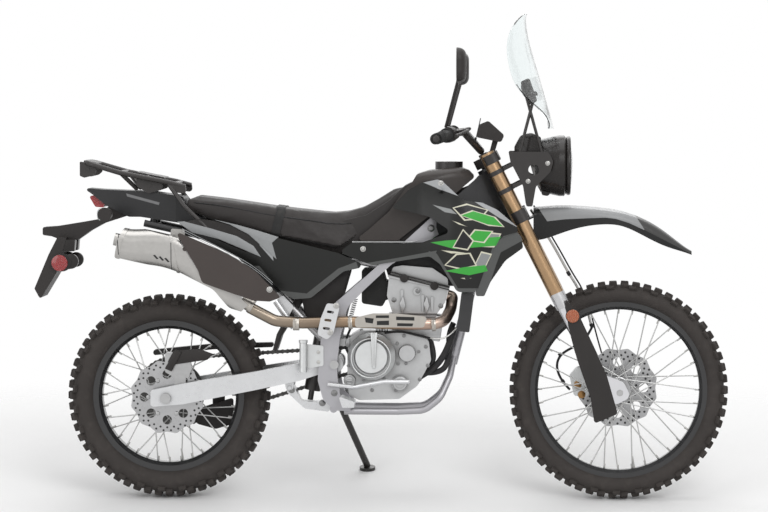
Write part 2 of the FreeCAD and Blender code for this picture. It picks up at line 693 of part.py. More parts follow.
COVER_GAP = size.engine_half_width + size.fit_gap
clutch_cover = engine_cover("clutch_cover_body", (along(PIVOT, 118), above(PIVOT, 26)), size.clutch_cover_radius,
                            -COVER_GAP, 46.0, 56.0)
generator_cover = engine_cover("generator_cover_body", (along(PIVOT, 205), above(PIVOT, 4)), size.generator_cover_radius,
                               COVER_GAP, 40.0, 40.0)
clutch_piece = piece("clutch_cover", clutch_cover)
generator_piece = piece("generator_cover", generator_cover)

AIRBOX = steps(REAR, (238, 500, 10), (400, 470, 20), (470, 462, 6), (470, 430, 6), (424, 400, 20), (400, 340, 10), (340, 352, 10), (262, 440, 30))
airbox = piece("airbox", without("airbox", slab("airbox_block", "side", AIRBOX, -62.0, 62.0),
                                 across("airbox_sleeve", (along(REAR, 330), above(REAR, 470)), 8.0 + size.fit_gap, -70.0, 70.0)))

RADIATOR = steps(HEAD, (-158, -226, 5), (-118, -231, 5), (-133, -351, 5), (-173, -346, 5))
radiator = slab("radiator", "side", RADIATOR, 36.0, 160.0)
stays = [across(f"radiator_stay{i}", (along(HEAD, x), above(HEAD, z)), 6.0, 17.4, 40.0) for i, (x, z) in enumerate(((-137, -250), (-149, -300)))]
radiator_side = joined("radiator_side", radiator, *stays)
radiators = piece("radiators", group("radiators", radiator_side, mirrored(radiator_side)))

INTAKE = steps(PIVOT, (84, 300, 10), (150, 300, 10), (160, 262, 4), (178, 256), (178, 206), (160, 200, 4), (150, 180, 10), (84, 190, 10))
intake = piece("intake", without("intake", slab("intake_block", "side", INTAKE, -55.0, 55.0), head_block))

# Exhaust

PORT = (along(HEAD, -205), -34.0, above(HEAD, -241.8))
PIPE = [PORT, (along(HEAD, -188), -34.0, above(HEAD, -246)), (along(HEAD, -193), -58.0, above(HEAD, -284)), (along(HEAD, -216), -128.0, above(HEAD, -326)),
        (along(HEAD, -330), -size.pipe_side, above(HEAD, -326)), (along(PIVOT, 46), -size.pipe_side, above(PIVOT, 138)),
        (along(PIVOT, -100), -size.pipe_side, above(PIVOT, 134)), (along(REAR, 352), -size.pipe_side, above(REAR, 250)),
        (along(REAR, 272), -size.silencer_side, above(REAR, 292))]
exhaust_pipe = piece("exhaust_pipe", tube("exhaust_pipe", PIPE, "pipe_radius", 60.0))
CAN_SIDE = steps(REAR, (-147, 452, 8), (-136, 505, 30), (-113, 552, 12), (50, 513), (110, 415), (222, 345, 40),
                 (268, 302), (246, 281), (208, 292, 30), (160, 352, 60), (50, 406))
CAN_LEVELS = ((-165, 453, 570, 50), (-20, 424, 540, 50), (60, 396, 520, 50), (150, 330, 440, 42), (215, 288, 372, 30), (285, 250, 322, 21))


def oval(middle, half, low, high):
    """A rounded oblong section round a middle at one side."""
    soft = half * 0.8
    return [(middle - half, low, soft), (middle - half, high, soft), (middle + half, high, soft), (middle + half, low, soft)]


can = shared("can", slab("can_side", "side", CAN_SIDE, -260.0, -60.0), lofted("can_form", "front", [
    (along(REAR, x), oval(-size.silencer_side, half, above(REAR, low), above(REAR, high))) for x, low, high, half in CAN_LEVELS]))
HANGER = steps(REAR, (12, 480), (60, 470), (62, 536, 6), (18, 540, 6))
hanger = slab("hanger", "side", HANGER, -size.silencer_side + size.silencer_half_width - 4.0, -RAIL_SIDE - size.cradle_radius - size.fit_gap)
CAN_BAND = steps(REAR, (22, 522), (31, 520), (52, 402), (43, 403))
can_band = shared("can_band", slab("band_side", "side", CAN_BAND, -260.0, -60.0), lofted("band_form", "front", [
    (along(REAR, x), oval(-size.silencer_side, half + 2, above(REAR, low - 2), above(REAR, high + 2))) for x, low, high, half in CAN_LEVELS]))
CAN_CAP = steps(REAR, (-152, 450, 8), (-141, 507, 30), (-116, 556, 12), (-104, 553), (-128, 500), (-138, 447))
can_cap = shared("can_cap", slab("cap_side", "side", CAN_CAP, -260.0, -60.0), lofted("cap_form", "front", [
    (along(REAR, x), oval(-size.silencer_side, half + 1.5, above(REAR, low - 1.5), above(REAR, high + 1.5))) for x, low, high, half in CAN_LEVELS]))
outlet = without("outlet", rod("outlet_outside", (along(REAR, -156), -152.0, above(REAR, 508)), (along(REAR, -120), -152.0, above(REAR, 500)), 20.0),
                 rod("outlet_inside", (along(REAR, -158), -152.0, above(REAR, 508.4)), (along(REAR, -130), -152.0, above(REAR, 502)), 16.0))
silencer = piece("silencer", joined("silencer", can, can_cap, can_band, hanger, outlet))
SHIELD = steps(PIVOT, (68, 152, 10), (124, 166, 10), (200, 166, 10), (297, 156, 10), (285, 122, 10), (68, 122, 10))
heat_shield = piece("heat_shield", slab("heat_shield", "side", SHIELD, -size.pipe_side - 21.3, -size.pipe_side - 18.3))

# Swingarm, shock absorber and linkage

ARM_SIDE = steps(REAR, (-49, 25, 10), (55, 47, 30)) + steps(PIVOT, (-112, 0, 60), (-30, 19, 20), (26, 24, 20),
                                                         (26, -26, 20), (-30, -28, 20), (-112, -55, 60)) \
    + steps(REAR, (55, -19, 30), (-49, -28, 10))
ARM_PLAN = [(along(PIVOT, 30), 60.0), (along(PIVOT, -110), 60.0, 60), (along(REAR, 300), 89.0, 60), (along(REAR, -60), 89.0),
            (along(REAR, -60), 114.0), (along(REAR, 280), 114.0, 60), (along(PIVOT, -110), 87.0, 60), (along(PIVOT, 30), 87.0)]
left_arm = shared("left_arm", slab("arm_side", "side", ARM_SIDE, 40.0, 130.0), slab("arm_plan", "plan", ARM_PLAN, 0.0, TALL))
pivot_sleeve = across("pivot_sleeve", PIVOT, 22.0, -86.0, 86.0)
arm_brace = slab("arm_brace", "side", steps(PIVOT, (-180, -20, 10), (-132, -12, 10), (-132, -48, 10), (-180, -52, 10)),
                 -88.0, 88.0)
EAR = steps(PIVOT, (-168, -40), (-130, -40), (-136, -86, 12), (-158, -94, 12))
left_ear = slab("left_ear", "side", EAR, 31.0, 39.0)
arm_whole = joined("arm_whole", left_arm, mirrored(left_arm), pivot_sleeve, arm_brace, left_ear, mirrored(left_ear))
swingarm = piece("swingarm", without("swingarm", arm_whole, across("arm_pivot_bore", PIVOT, 9.0, -140.0, 140.0),
                                     across("ear_bore", steps(PIVOT, (-148, -82))[0], 6.3, -50.0, 50.0),
                                     across("arm_axle_bore", REAR, size.axle_radius + size.fit_gap, -140.0, 140.0)))
rear_axle = piece("rear_axle", joined(
    "rear_axle", across("rear_axle_bar", REAR, "axle_radius", -122.0, 122.0),
    across("rear_axle_head", REAR, 16.0, -124.0, -114.4), across("rear_axle_nut", REAR, 16.0, 114.4, 124.0),
    across("rear_axle_spacer", REAR, 15.0, 78.0, 88.6), across("rear_axle_collar", REAR, 15.0, -88.6, -75.0)))
pivot_bolt = across("pivot_bolt_bar", PIVOT, 8.7, -126.0, 126.0)
pivot_head = across("pivot_bolt_head", PIVOT, 14.0, -130.0, -size.spar_half_width - 0.2)
pivot_nut = across("pivot_bolt_nut", PIVOT, 14.0, size.spar_half_width + 0.2, 130.0)
pivot_piece = piece("pivot_bolt", joined("pivot_bolt", pivot_bolt, pivot_head, pivot_nut))
SHOCK_TOP, SHOCK_FOOT = steps(PIVOT, (-22, 205))[0], steps(PIVOT, (-78, -92))[0]
shock_body = rod("shock_body", (SHOCK_FOOT[0], 0.0, SHOCK_FOOT[1]), (SHOCK_TOP[0], 0.0, SHOCK_TOP[1]), 26.0)
shock_eye = rod("shock_eye", (along(PIVOT, -84), 0.0, above(PIVOT, -123.8)), (SHOCK_FOOT[0], 0.0, SHOCK_FOOT[1] + 5), 9.0)
shock_absorber = piece("shock_absorber", joined("shock_absorber", shock_body, shock_eye))
LINK_PIN = steps(PIVOT, (-148, -82))[0]
ROCKER = steps(PIVOT, (-158, -74, 8), (-136, -74, 12), (-112, -126, 12), (-12, -130, 4), (-22, -160, 8), (-100, -150, 12),
               (-158, -96, 12))
linkage = piece("linkage", joined("linkage", slab("rocker", "side", ROCKER, -30.0, 30.0),
                                  across("rocker_pin", LINK_PIN, 6.0, -42.0, 42.0)))

REAR_CALIPER = steps(REAR, (-5, 145, 8), (70, 136, 8), (80, 92, 8), (70, 62, 8), (29, 62, 8), (-5, 81, 8))
slot_width = 5.0 + size.disc_thickness / 2
CALIPER_TAB = steps(REAR, (25, 30, 6), (60, 34, 6), (62, 74), (25, 74))
caliper_whole = joined("caliper_whole", slab("rear_caliper_block", "side", REAR_CALIPER, -size.rear_disc_side - 15.0,
                                             -size.rear_disc_side + 17.0),
                       slab("caliper_tab", "side", CALIPER_TAB, -size.rear_disc_side - 16.7, -size.rear_disc_side - 8.0))
rear_caliper = piece("rear_caliper", without(
    "rear_caliper", caliper_whole,
    across("rear_disc_slot", REAR, size.rear_disc_radius + 5.0, -size.rear_disc_side - slot_width,
           -size.rear_disc_side + slot_width)))

# Chain: one fixed loop


def chain_belt(name, inset, low, high):
    """A closed belt round both sprockets, at a distance inside or outside the pitch line."""
    big, small = size.rear_sprocket_radius + inset, size.front_sprocket_radius + inset
    centre_a, centre_b = Vector(REAR[0], REAR[1], 0), Vector(OUTPUT[0], OUTPUT[1], 0)
    along = centre_b - centre_a
    slope = math.atan2(along.y, along.x)
    tilt = math.acos((big - small) / along.Length)

    def at(centre, radius, angle):
        return Vector(centre.x + radius * math.cos(angle), centre.y + radius * math.sin(angle), 0)
    up, down = slope + tilt, slope - tilt
    loop = [Part.LineSegment(at(centre_a, big, up), at(centre_b, small, up)),
            Part.Arc(at(centre_b, small, up), at(centre_b, small, slope), at(centre_b, small, down)),
            Part.LineSegment(at(centre_b, small, down), at(centre_a, big, down)),
            Part.Arc(at(centre_a, big, down), at(centre_a, big, slope + math.pi), at(centre_a, big, up))]
    turn, normal, _ = VIEWS["side"]
    sketch = doc.addObject("Sketcher::SketchObject", name + "_outline")
    sketch.Placement = Placement(Vector(), turn)
    sketch.addGeometry(loop)
    solid = doc.addObject("Part::Extrusion", name)
    solid.Base = sketch
    solid.DirMode = "Custom"
    solid.Dir = normal
    solid.Solid = True
    solid.LengthFwd = high
    solid.LengthRev = -low
    return solid


half_chain = size.chain_width / 2
chain_outer = chain_belt("chain_outer", size.plate_height / 2, size.chain_side - half_chain, size.chain_side + half_chain)
chain_inner = chain_belt("chain_inner", -size.plate_height / 2, size.chain_side - half_chain - 1, size.chain_side + half_chain + 1)
chain_slot = chain_belt("chain_slot", -5.1, size.chain_side - 3.4, size.chain_side + 3.4)
chain = piece("chain", without("chain", chain_outer, chain_inner, chain_slot))
front_sprocket = piece("front_sprocket", sprocket("front_sprocket", OUTPUT, size.front_sprocket_radius, size.chain_side))
GUARD_SIDE = steps(REAR, (-60, 140, 10), (136, 160, 20), (330, 165, 10), (330, 150, 10), (136, 142, 20), (-60, 122, 10))
ARM_INSIDE = 88.7
GUIDE_SIDE = steps(REAR, (95, -48, 8), (198, -16, 8), (198, -100, 16), (143, -116, 16), (69, -96, 16))
guide_tab = slab("guide_tab", "side", steps(REAR, (130, -45), (170, -33), (170, 26), (130, 16)), 86.3, ARM_INSIDE)
chain_guide = without("chain_guide", joined("guide_whole", slab("guide_block", "side", GUIDE_SIDE, 58.0, ARM_INSIDE), guide_tab),
                      chain_belt("guide_slot", size.plate_height / 2 + 3.0, 60.0, 86.0))
guard_tab = slab("guard_tab", "side", steps(REAR, (200, 62), (230, 66), (236, 152), (204, 152)), 84.0, ARM_INSIDE)
chain_guard = joined("chain_guard", slab("guard_cover", "side", GUARD_SIDE, 62.0, 88.0), guard_tab)
chain_guards = piece("chain_guards", group("chain_guards", chain_guard, chain_guide))

# Seat, tank and panels

SEAT_SIDE = (steps(REAR, (63, 642, 20), (198, 626, 60), (345, 604, 60))
             + steps(PIVOT, (-116, 485, 60), (-4, 474, 60), (44, 479, 60), (92, 492, 60), (140, 519, 60),
                     (204, 559, 60), (240, 580, 4), (225.4, 560, 30), (171.4, 484, 40), (103.4, 424, 30), (20, 366, 20),
                     (-180, 404, 60))
             + steps(REAR, (267, 536, 60), (156, 566, 60), (63, 606, 10)))
SEAT_LEVELS = (
    (along(REAR, 50), 96, 92, 600, 650, 24), (along(REAR, 140), 106, 98, 560, 640, 26), (along(REAR, 260), 112, 104, 530, 624, 28),
    (along(REAR, 370), 108, 112, 505, 606, 30), (along(PIVOT, -70), 96, 118, 480, 595, 30), (along(PIVOT, 20), 84, 112, 470, 587, 30),
    (along(PIVOT, 90), 72, 100, 480, 604, 28), (along(PIVOT, 150), 62, 90, 500, 636, 26), (along(PIVOT, 250), 52, 80, 540, 706, 22))
seat = piece("seat", shared("seat", slab("seat_side", "side", SEAT_SIDE, -130.0, 130.0), lofted("seat_form", "front", [
    (x, loaf(top_half, foot_half, above(REAR, low), above(REAR, top) + 4.0, soft)) for x, top_half, foot_half, low, top, soft in SEAT_LEVELS])))
TANK_SIDE = (steps(PIVOT, (246, 578, 6), (260, 602, 12), (299, 614, 30))
             + steps(HEAD, (-216, 163, 30), (-162, 167, 20), (-136, 157, 10), (-116, 136, 10), (-150, 108, 10),
                     (-252, 20, 10))
             + steps(PIVOT, (200, 392, 20), (62, 391, 10), (104, 424, 30), (172, 484, 40), (226, 560, 30)))
TANK_LEVELS = ((along(PIVOT, 40), 84, 117), (along(PIVOT, 180), 90, 143), (along(HEAD, -300), 92, 159),
               (along(HEAD, -215), 84, 168), (along(HEAD, -160), 63, 171), (along(HEAD, -100), 42, 147))
tank = shared("tank_shell", slab("tank_side", "side", TANK_SIDE, -120.0, 120.0), lofted("tank_form", "front", [
    (x, loaf(half, half - 4, above(HEAD, -113), above(HEAD, top), 34.0, 8.0)) for x, half, top in TANK_LEVELS]))
tank_foot = slab("tank_foot", "side", steps(PIVOT, (196, 338), (206, 346), (206, 400), (196, 400)), 76.0, 84.3)
tank_whole = joined("tank_whole", tank, tank_foot, mirrored(tank_foot))
fuel_tank = piece("fuel_tank", without("fuel_tank", tank_whole, rod("tank_clearance", fork_point(0, 20), fork_point(0, 220), 33.0)))
CAP_AT = (along(HEAD, -200), 0.0, above(HEAD, 158.0))
fuel_cap = piece("fuel_cap", without("fuel_cap", rod("cap_bar", CAP_AT, (CAP_AT[0], 0.0, CAP_AT[2] + 26), 44.0), tank))

SHROUD_SIDE = (steps(PIVOT, (272, 575, 8)) + steps(HEAD, (-234, 130, 12), (-218, 124, 8), (-153, 65, 30), (-93, 58, 30),
                                                    (-46, 36, 30), (16, -17, 8), (19, -34, 6), (-46, -57, 30),
                                                    (-78, -136, 60), (-115, -223, 10), (-171, -223, 20), (-225, -136, 30))
               + steps(PIVOT, (303, 346, 20), (121, 315, 20), (15, 356, 10), (56, 387, 6), (203, 385, 20), (281, 390, 30),
                       (372, 424, 10), (297, 472, 20), (181, 497, 6), (234, 553, 10)))


def skin_plan(points, thickness):
    """A band that follows the outer face of a panel, seen from above."""
    outer = [(x, y, 150) for x, y in points]
    inner = [(x, y - thickness, 150) for x, y in reversed(points)]
    return outer + inner


SHROUD_LEVELS = ((above(PIVOT, 196), (132, 163, 170, 138, 120, 116)), (above(PIVOT, 330), (148, 173, 181, 146, 126, 121)),
                 (above(PIVOT, 430), (151, 177, 186, 152, 129, 122)), (above(PIVOT, 520), (148, 166, 172, 142, 120, 112)),
                 (above(PIVOT, 610), (122, 134, 132, 116, 102, 96)))
SHROUD_REACH = (along(HEAD, 40), along(HEAD, -60), along(HEAD, -170), along(PIVOT, 270), along(PIVOT, 120), PIVOT[0])
shroud_form = lofted("shroud_form", "plan", [
    (up, skin_plan(list(zip(SHROUD_REACH, sides)), size.panel_thickness)) for up, sides in SHROUD_LEVELS])
left_shroud = shared("left_shroud", slab("shroud_side", "side", SHROUD_SIDE, 80.0, 240.0), shroud_form)
tank_pin = without("tank_pin", across("tank_pin_bar", (along(HEAD, -228), above(HEAD, 100)), 8.0, 60.0, 165.0), tank)
LOUVRE = steps(HEAD, (-20, -40), (12, -30), (30, -50, 8), (36, -84, 10), (-20, -124, 60), (-66, -190, 60), (-86, -236, 6),
               (-112, -236, 6), (-116, -180), (-80, -110), (-50, -60))
louvre = placed(shared("louvre", slab("louvre_side", "side", LOUVRE, 80.0, 240.0), shroud_form), Placement(Vector(0, -3, 0), Rotation()))
shroud_side = joined("shroud_whole", left_shroud, tank_pin, louvre)
shrouds = piece("shrouds", group("shrouds", shroud_side, mirrored(shroud_side)))

COVER_EDGE = (steps(REAR, (39, 540, 10), (158, 524, 60), (356, 512, 60)) + steps(PIVOT, (13, 354, 10), (106, 312, 10),
                                                                            (30, 296, 30), (-74, 211, 20))
              + steps(REAR, (410, 317, 20), (378, 332, 10), (294, 417, 60), (158, 486, 60)))
COVER_LEVELS = ((above(REAR, 300), (118, 118, 110, 84)), (above(REAR, 400), (121, 126, 126, 98)), (above(REAR, 480), (122.6, 128, 131, 104)),
                (above(REAR, 560), (116, 121, 122, 98)))
COVER_REACH = (along(PIVOT, 120), along(PIVOT, -60), along(REAR, 300), along(REAR, 20))
left_cover = shared("left_cover", slab("cover_side", "side", COVER_EDGE, 60.0, 200.0), lofted("cover_form", "plan", [
    (up, skin_plan(list(zip(COVER_REACH, sides)), size.panel_thickness)) for up, sides in COVER_LEVELS]))
cover_pin = across("cover_pin", (along(REAR, 200), above(REAR, 497)), 6.0, RAIL_SIDE + size.cradle_radius + size.fit_gap, 120.0)
cover_side = joined("cover_whole", left_cover, cover_pin)
side_covers = piece("side_covers", group("side_covers", cover_side, mirrored(cover_side)))
HEAT_PANEL = steps(REAR, (42, 536, 6), (114, 412, 30), (126, 374, 20), (286, 318, 20), (339, 315, 10), (374, 328, 6),
                   (295, 410, 60), (208, 466, 30))
panel_boss = without("panel_boss", across("panel_boss_bar", (along(REAR, 72), above(REAR, 480)), 7.0, -206.0, -195.0), can)
heat_panel = piece("heat_panel", joined("heat_panel", slab("heat_panel_sheet", "side", HEAT_PANEL, -208.0, -204.0), panel_boss))

TAIL_TOP = steps(REAR, (-271, 667, 6), (-211, 662, 60), (-52, 655, 60), (56, 640, 10), (56, 600, 10), (154, 556, 60),
                 (354, 505, 10))
TAIL_LOW = steps(REAR, (300, 500, 10), (154, 524, 60), (43, 556, 60), (-84, 575, 20), (-122, 575, 10), (-195, 610, 20),
                 (-239, 645, 10))
TAIL_PLAN = [(along(REAR, -280), -42.0, 20), (along(REAR, 30), -72.0), (along(REAR, 360), -62.0), (along(REAR, 360), 62.0),
             (along(REAR, 30), 72.0), (along(REAR, -280), 42.0, 20)]
tail_posts = [without(f"tail_post{i}", rod(f"tail_post_bar{i}", (along(REAR, -40), y, above(REAR, 549)), (along(REAR, -40), y, above(REAR, 582)), 8.0),
                      rail_cross[1]) for i, y in enumerate((-40.0, 40.0))]
tail_fender = piece("tail_fender", joined("tail_fender", *tail_posts, shared("tail_shell", slab("tail_side", "side", TAIL_TOP + TAIL_LOW, -90.0, 90.0),
                                          slab("tail_plan", "plan", TAIL_PLAN, 0.0, TALL))))
LAMP_SIDE = steps(REAR, (-252, 640, 6), (-237, 643), (-201, 614.4), (-206, 604, 4), (-232, 606, 10))
tail_lamp = piece("tail_lamp", slab("tail_lamp", "side", LAMP_SIDE, -40.0, 40.0))
PLATE_ARM = steps(REAR, (-129, 577.9), (-190, 607.2, 6), (-200, 600, 6), (-222, 566, 20), (-280, 556, 20), (-359, 543, 10), (-404, 540, 6),
                  (-404, 515, 6), (-375, 511, 10), (-343, 499, 10), (-292, 499, 10), (-248, 530, 20), (-206, 553, 20))
PLATE_FLAP = steps(REAR, (-350, 512), (-380, 454, 6), (-426, 345, 6), (-407, 310, 6), (-355, 396, 6), (-322, 508))
plate_bracket = piece("plate_bracket", joined("plate_bracket", slab("plate_arm", "side", PLATE_ARM, -26.0, 26.0),
                                              slab("plate_flap", "side", PLATE_FLAP, -62.0, 62.0)))
SIGNAL_AT = (along(REAR, -183), above(REAR, 587))
signal_body = rod("signal_body", (SIGNAL_AT[0], 120.0, SIGNAL_AT[1]), (SIGNAL_AT[0], 190.0, SIGNAL_AT[1]), 18.0, 22.0)
signal_stalk = across("signal_stalk", (SIGNAL_AT[0] - 2, SIGNAL_AT[1] - 8), 6.0, 26.3, 122.0)
signal = joined("signal", signal_body, signal_stalk)
rear_indicators = piece("rear_indicators", group("rear_indicators", signal, mirrored(signal)))

RACK_TOP = [(along(REAR, -262), 0.0, above(REAR, 748)), (along(REAR, -255), 88.0, above(REAR, 748)), (along(REAR, -145), 96.0, above(REAR, 716)),
            (along(REAR, 13), 96.0, above(REAR, 685)), (along(REAR, 62), 94.0, above(REAR, 672))]
rack_rail = tube("rack_rail", RACK_TOP, 8.0, 30.0)
rack_leg = tube("rack_leg", [(along(REAR, 10), 94.0, above(REAR, 680)), (along(REAR, 60), 112.0, above(REAR, 612)),
                             (along(REAR, 120), 122.0, above(REAR, 556)), (along(REAR, 152), 125.0, above(REAR, 520))], 7.0, 30.0)
rack_back = rod("rack_back", (along(REAR, -140), 94.0, above(REAR, 712)), (along(REAR, -96), 52.0, above(REAR, 663.5)), 7.0)
rack_bars = [across(f"rack_bar{i}", (along(REAR, x), above(REAR, z)), 7.0, -94.0, 94.0)
             for i, (x, z) in enumerate(((-145, 716), (-60, 702), (30, 681)))]
PLATE_TILT = math.atan2(31.0, 158.0)
PLATE_DROP = size.rack_plate / math.cos(PLATE_TILT)
PLATE_FALL = 90.0 * math.tan(PLATE_TILT)
rack_plate = slab("rack_plate", "side", steps(REAR, (-98, 719), (-8, 719 - PLATE_FALL), (-8, 719 - PLATE_FALL - PLATE_DROP),
                                              (-98, 719 - PLATE_DROP)), -62.0, 62.0)
hook_plate = slab("hook_plate", "side", steps(REAR, (-264, 756, 3), (-224, 748, 3), (-224, 738, 3), (-264, 746, 3)), -72.0, 72.0)
BOLT_NORMAL = Vector(math.sin(PLATE_TILT), 0.0, math.cos(PLATE_TILT))
BOLTS = [Vector(along(REAR, x), y, above(REAR, 719 - (x + 98) * math.tan(PLATE_TILT))) for x in (-82, -27) for y in (-42.0, 42.0)]
bolt_holes = [rod(f"bolt_hole{i}", at - BOLT_NORMAL * 30, at + BOLT_NORMAL * 30, "rack_bolt_radius") for i, at in enumerate(BOLTS)]
rack_feet = [slab(f"rack_foot{i}", "side", steps(REAR, (0, 690, 6), (64, 676, 6), (66, 650, 10), (24, 655, 10)), low, low + 12)
             for i, low in enumerate((-102.0, 90.0))]
HOOKS = (("rear_hook", [(-276, 752, 4), (-224, 742, 4), (-224, 716, 8), (-236, 706, 8), (-262, 700, 6), (-276, 706, 4)]),
         ("middle_hook", [(-96, 708, 4), (-12, 692, 4), (-12, 664, 6), (-56, 650, 10), (-94, 672, 8)]))
rack_hooks = [slab(f"{name}{low:.0f}", "side", steps(REAR, *outline), low, low + 4.0) for name, outline in HOOKS for low in (-78.0, 74.0)]
hook_bars = [across(f"hook_bar{i}", (along(REAR, x), above(REAR, z)), 6.0, -80.0, 80.0) for i, (x, z) in enumerate(((-250, 728), (-52, 676)))]
rack_whole = joined("rack_whole", *rack_hooks, *hook_bars, rack_rail, mirrored(rack_rail), rack_leg, mirrored(rack_leg), rack_back, mirrored(rack_back),
                    rack_plate, hook_plate, *rack_feet, *rack_bars)
luggage_rack = piece("luggage_rack", without("luggage_rack", rack_whole, *bolt_holes))

# Foot controls

PEG = steps(PIVOT, (18, -92, 4), (68, -110, 4), (68, -128, 4), (30, -128, 4))
peg = slab("peg", "side", PEG, size.spar_half_width + size.fit_gap, 212.0)
HEEL = steps(PIVOT, (-20, 198, 8), (12, 195, 8), (19, 182, 8), (0, 102, 10), (-20, 83, 10), (-51, 99, 12), (-40, 150, 20))
heel_slots = [slab(f"heel_slot{i}", "side", steps(PIVOT, (x, z, 4), (x + 22, z - 3, 4), (x + 20, z - 11, 4), (x - 2, z - 8, 4)), 100.0, 200.0)
              for i, (x, z) in enumerate(((-19, 176), (-27, 150), (-32, 124)))]
heel_left = without("heel_left", slab("heel_plate", "side", HEEL, 128.0, 131.0), *heel_slots)
heel_stays = [across(f"heel_stay{i}", (along(PIVOT, x), above(PIVOT, z)), 5.0, size.spar_half_width + size.fit_gap, 129.0)
              for i, (x, z) in enumerate(((8, 186), (-14, 98)))]
heel_guard = joined("heel_guard", heel_left, *heel_stays)
right_stays = [across(f"right_stay{i}", (along(PIVOT, x), above(PIVOT, z)), 5.0, size.spar_half_width + size.fit_gap, 174.0)
               for i, (x, z) in enumerate(((8, 186), (-14, 98)))]
right_plate = without("right_plate", slab("right_heel", "side", HEEL, 171.0, 174.0), *heel_slots)
right_heel = mirrored(joined("right_heel_guard", right_plate, *right_stays))
folded_peg = joined("folded_peg", rod("folded_bar", (along(REAR, 350), 106.0, above(REAR, 310)), (along(REAR, 408), 106.0, above(REAR, 226)), 10.0),
                    slab("folded_bracket", "side", steps(REAR, (346, 306, 8), (372, 330, 8), (408, 292, 8), (384, 250, 8)), 84.0, 102.0))
folded = without("folded_rest", folded_peg, lower_strut)
footrests = piece("footrests", group("footrests", peg, mirrored(peg), heel_guard, right_heel, folded, mirrored(folded)))
master = joined("master_whole", rod("master_barrel", (along(PIVOT, -98), -127.0, above(PIVOT, -24)), (along(PIVOT, -98), -127.0, above(PIVOT, 70)), 12.0),
                rod("master_cap", (along(PIVOT, -98), -127.0, above(PIVOT, 70)), (along(PIVOT, -98), -127.0, above(PIVOT, 78)), 14.0),
                slab("master_bracket", "side", steps(PIVOT, (-104, 66, 6), (-34, 60, 6), (-34, -4, 6), (-104, -14, 6)), -124.0, -size.spar_half_width - size.fit_gap))
master_cylinder = piece("master_cylinder", master)
BRAKE_PEDAL = [(along(PIVOT, -20), -size.spar_half_width - 7.4, above(PIVOT, -62)), (along(PIVOT, 60), -size.spar_half_width - 16, above(PIVOT, -70)),
               (along(PIVOT, 160), -160.0, above(PIVOT, -50)), (along(PIVOT, 240), -182.0, above(PIVOT, -48))]
brake_pedal = piece("brake_pedal", tube("brake_pedal", BRAKE_PEDAL, 7.0, 30.0))
GEAR_PEDAL = [(along(PIVOT, 146), size.engine_half_width + size.fit_gap, above(PIVOT, -68)), (along(PIVOT, 148), 120.0, above(PIVOT, -68)),
              (along(PIVOT, 190), 150.0, above(PIVOT, -60)), (along(PIVOT, 250), 160.0, above(PIVOT, -34))]
gear_pedal = piece("gear_pedal", tube("gear_pedal", GEAR_PEDAL, 7.0, 30.0))

# Fork and steering, in the fork's frame

HALF_FORK = size.fork_spacing / 2
LEG = (size.fork_lead, HALF_FORK)
AXLE_UP = -math.hypot(FRONT[0] - HEAD[0], FRONT[1] - HEAD[1]) * math.cos(
    math.atan2(FRONT[0] - HEAD[0], HEAD[1] - FRONT[1]) - RAKE)


def fork_turned(name, points):
    """A piece turned about the left leg's axis; points are (radius, height)."""
    body = Body(name, (LEG[0], LEG[1], 0.0))
    body.turn("side", points, "V_Axis")
    return body.item


def clamp(name, low, high, leg_radius, stem_radius):
    """One triple clamp: a bridge round both legs and the stem."""
    outline = [(-28, -22, 16), (10, -60, 40), (-2, -HALF_FORK - 26, 22), (52, -HALF_FORK - 28, 22), (56, -HALF_FORK + 20, 30),
               (40, 0, 60), (56, HALF_FORK - 20, 30), (52, HALF_FORK + 28, 22), (-2, HALF_FORK + 26, 22), (10, 60, 40),
               (-28, 22, 16)]
    body = Body(name)
    body.pad("plan", outline, low, high - low)
    body.pocket("plan", [circle((LEG[0], HALF_FORK), leg_radius), circle((LEG[0], -HALF_FORK), leg_radius)], low)
    return body.item


outer_gap = size.outer_tube_radius + 0.2
lower_clamp = clamp("lower_clamp", -20.0, 20.0, outer_gap, 14.0)
upper_clamp = clamp("upper_clamp", size.clamp_gap - 15.0, size.clamp_gap + 15.0, outer_gap, 14.0)
stem = rod("stem", (0, 0, 10), (0, 0, size.clamp_gap), 14.0)
BAR_AT = (10.0, size.clamp_gap + 36.0)
risers = [rod(f"riser{i}", (BAR_AT[0], y, size.clamp_gap + 10), (BAR_AT[0], y, BAR_AT[1] - size.bar_radius - 0.2), 14.0)
          for i, y in enumerate((-42.0, 42.0))]
triple_clamps = piece("triple_clamps", joined("triple_clamps", lower_clamp, upper_clamp, stem, *risers), FORK_FRAME)
TUBE_TOP = size.clamp_gap + 22.0
TUBE_FOOT = TUBE_TOP - size.outer_tube_length
outer_leg = fork_turned("outer_leg", [(0, TUBE_TOP), (size.outer_tube_radius, TUBE_TOP), (size.outer_tube_radius, TUBE_FOOT),
                                      (size.inner_tube_radius + 0.3, TUBE_FOOT), (size.inner_tube_radius + 0.3, TUBE_FOOT + 250),
                                      (0, TUBE_FOOT + 250)])
fork_outer_tubes = piece("fork_outer_tubes", group("fork_outer_tubes", outer_leg, mirrored(outer_leg)), FORK_FRAME)
inner_leg = fork_turned("inner_leg", [(0, TUBE_FOOT + 240), (size.inner_tube_radius, TUBE_FOOT + 240),
                                      (size.inner_tube_radius, AXLE_UP + 20), (0, AXLE_UP + 20)])
AXLE_AT = (size.fork_lead + size.axle_lead, AXLE_UP)
LUG_SIDE = [(0, AXLE_UP + 70, 12), (46, AXLE_UP + 70, 12), (AXLE_AT[0] + 26, AXLE_UP + 26, 20),
            (AXLE_AT[0] + 26, AXLE_UP - 28, 20), (AXLE_AT[0] - 26, AXLE_UP - 28, 20), (0, AXLE_UP + 10, 20)]
lug = slab("fork_lug", "side", LUG_SIDE, 73.0, HALF_FORK + size.outer_tube_radius)
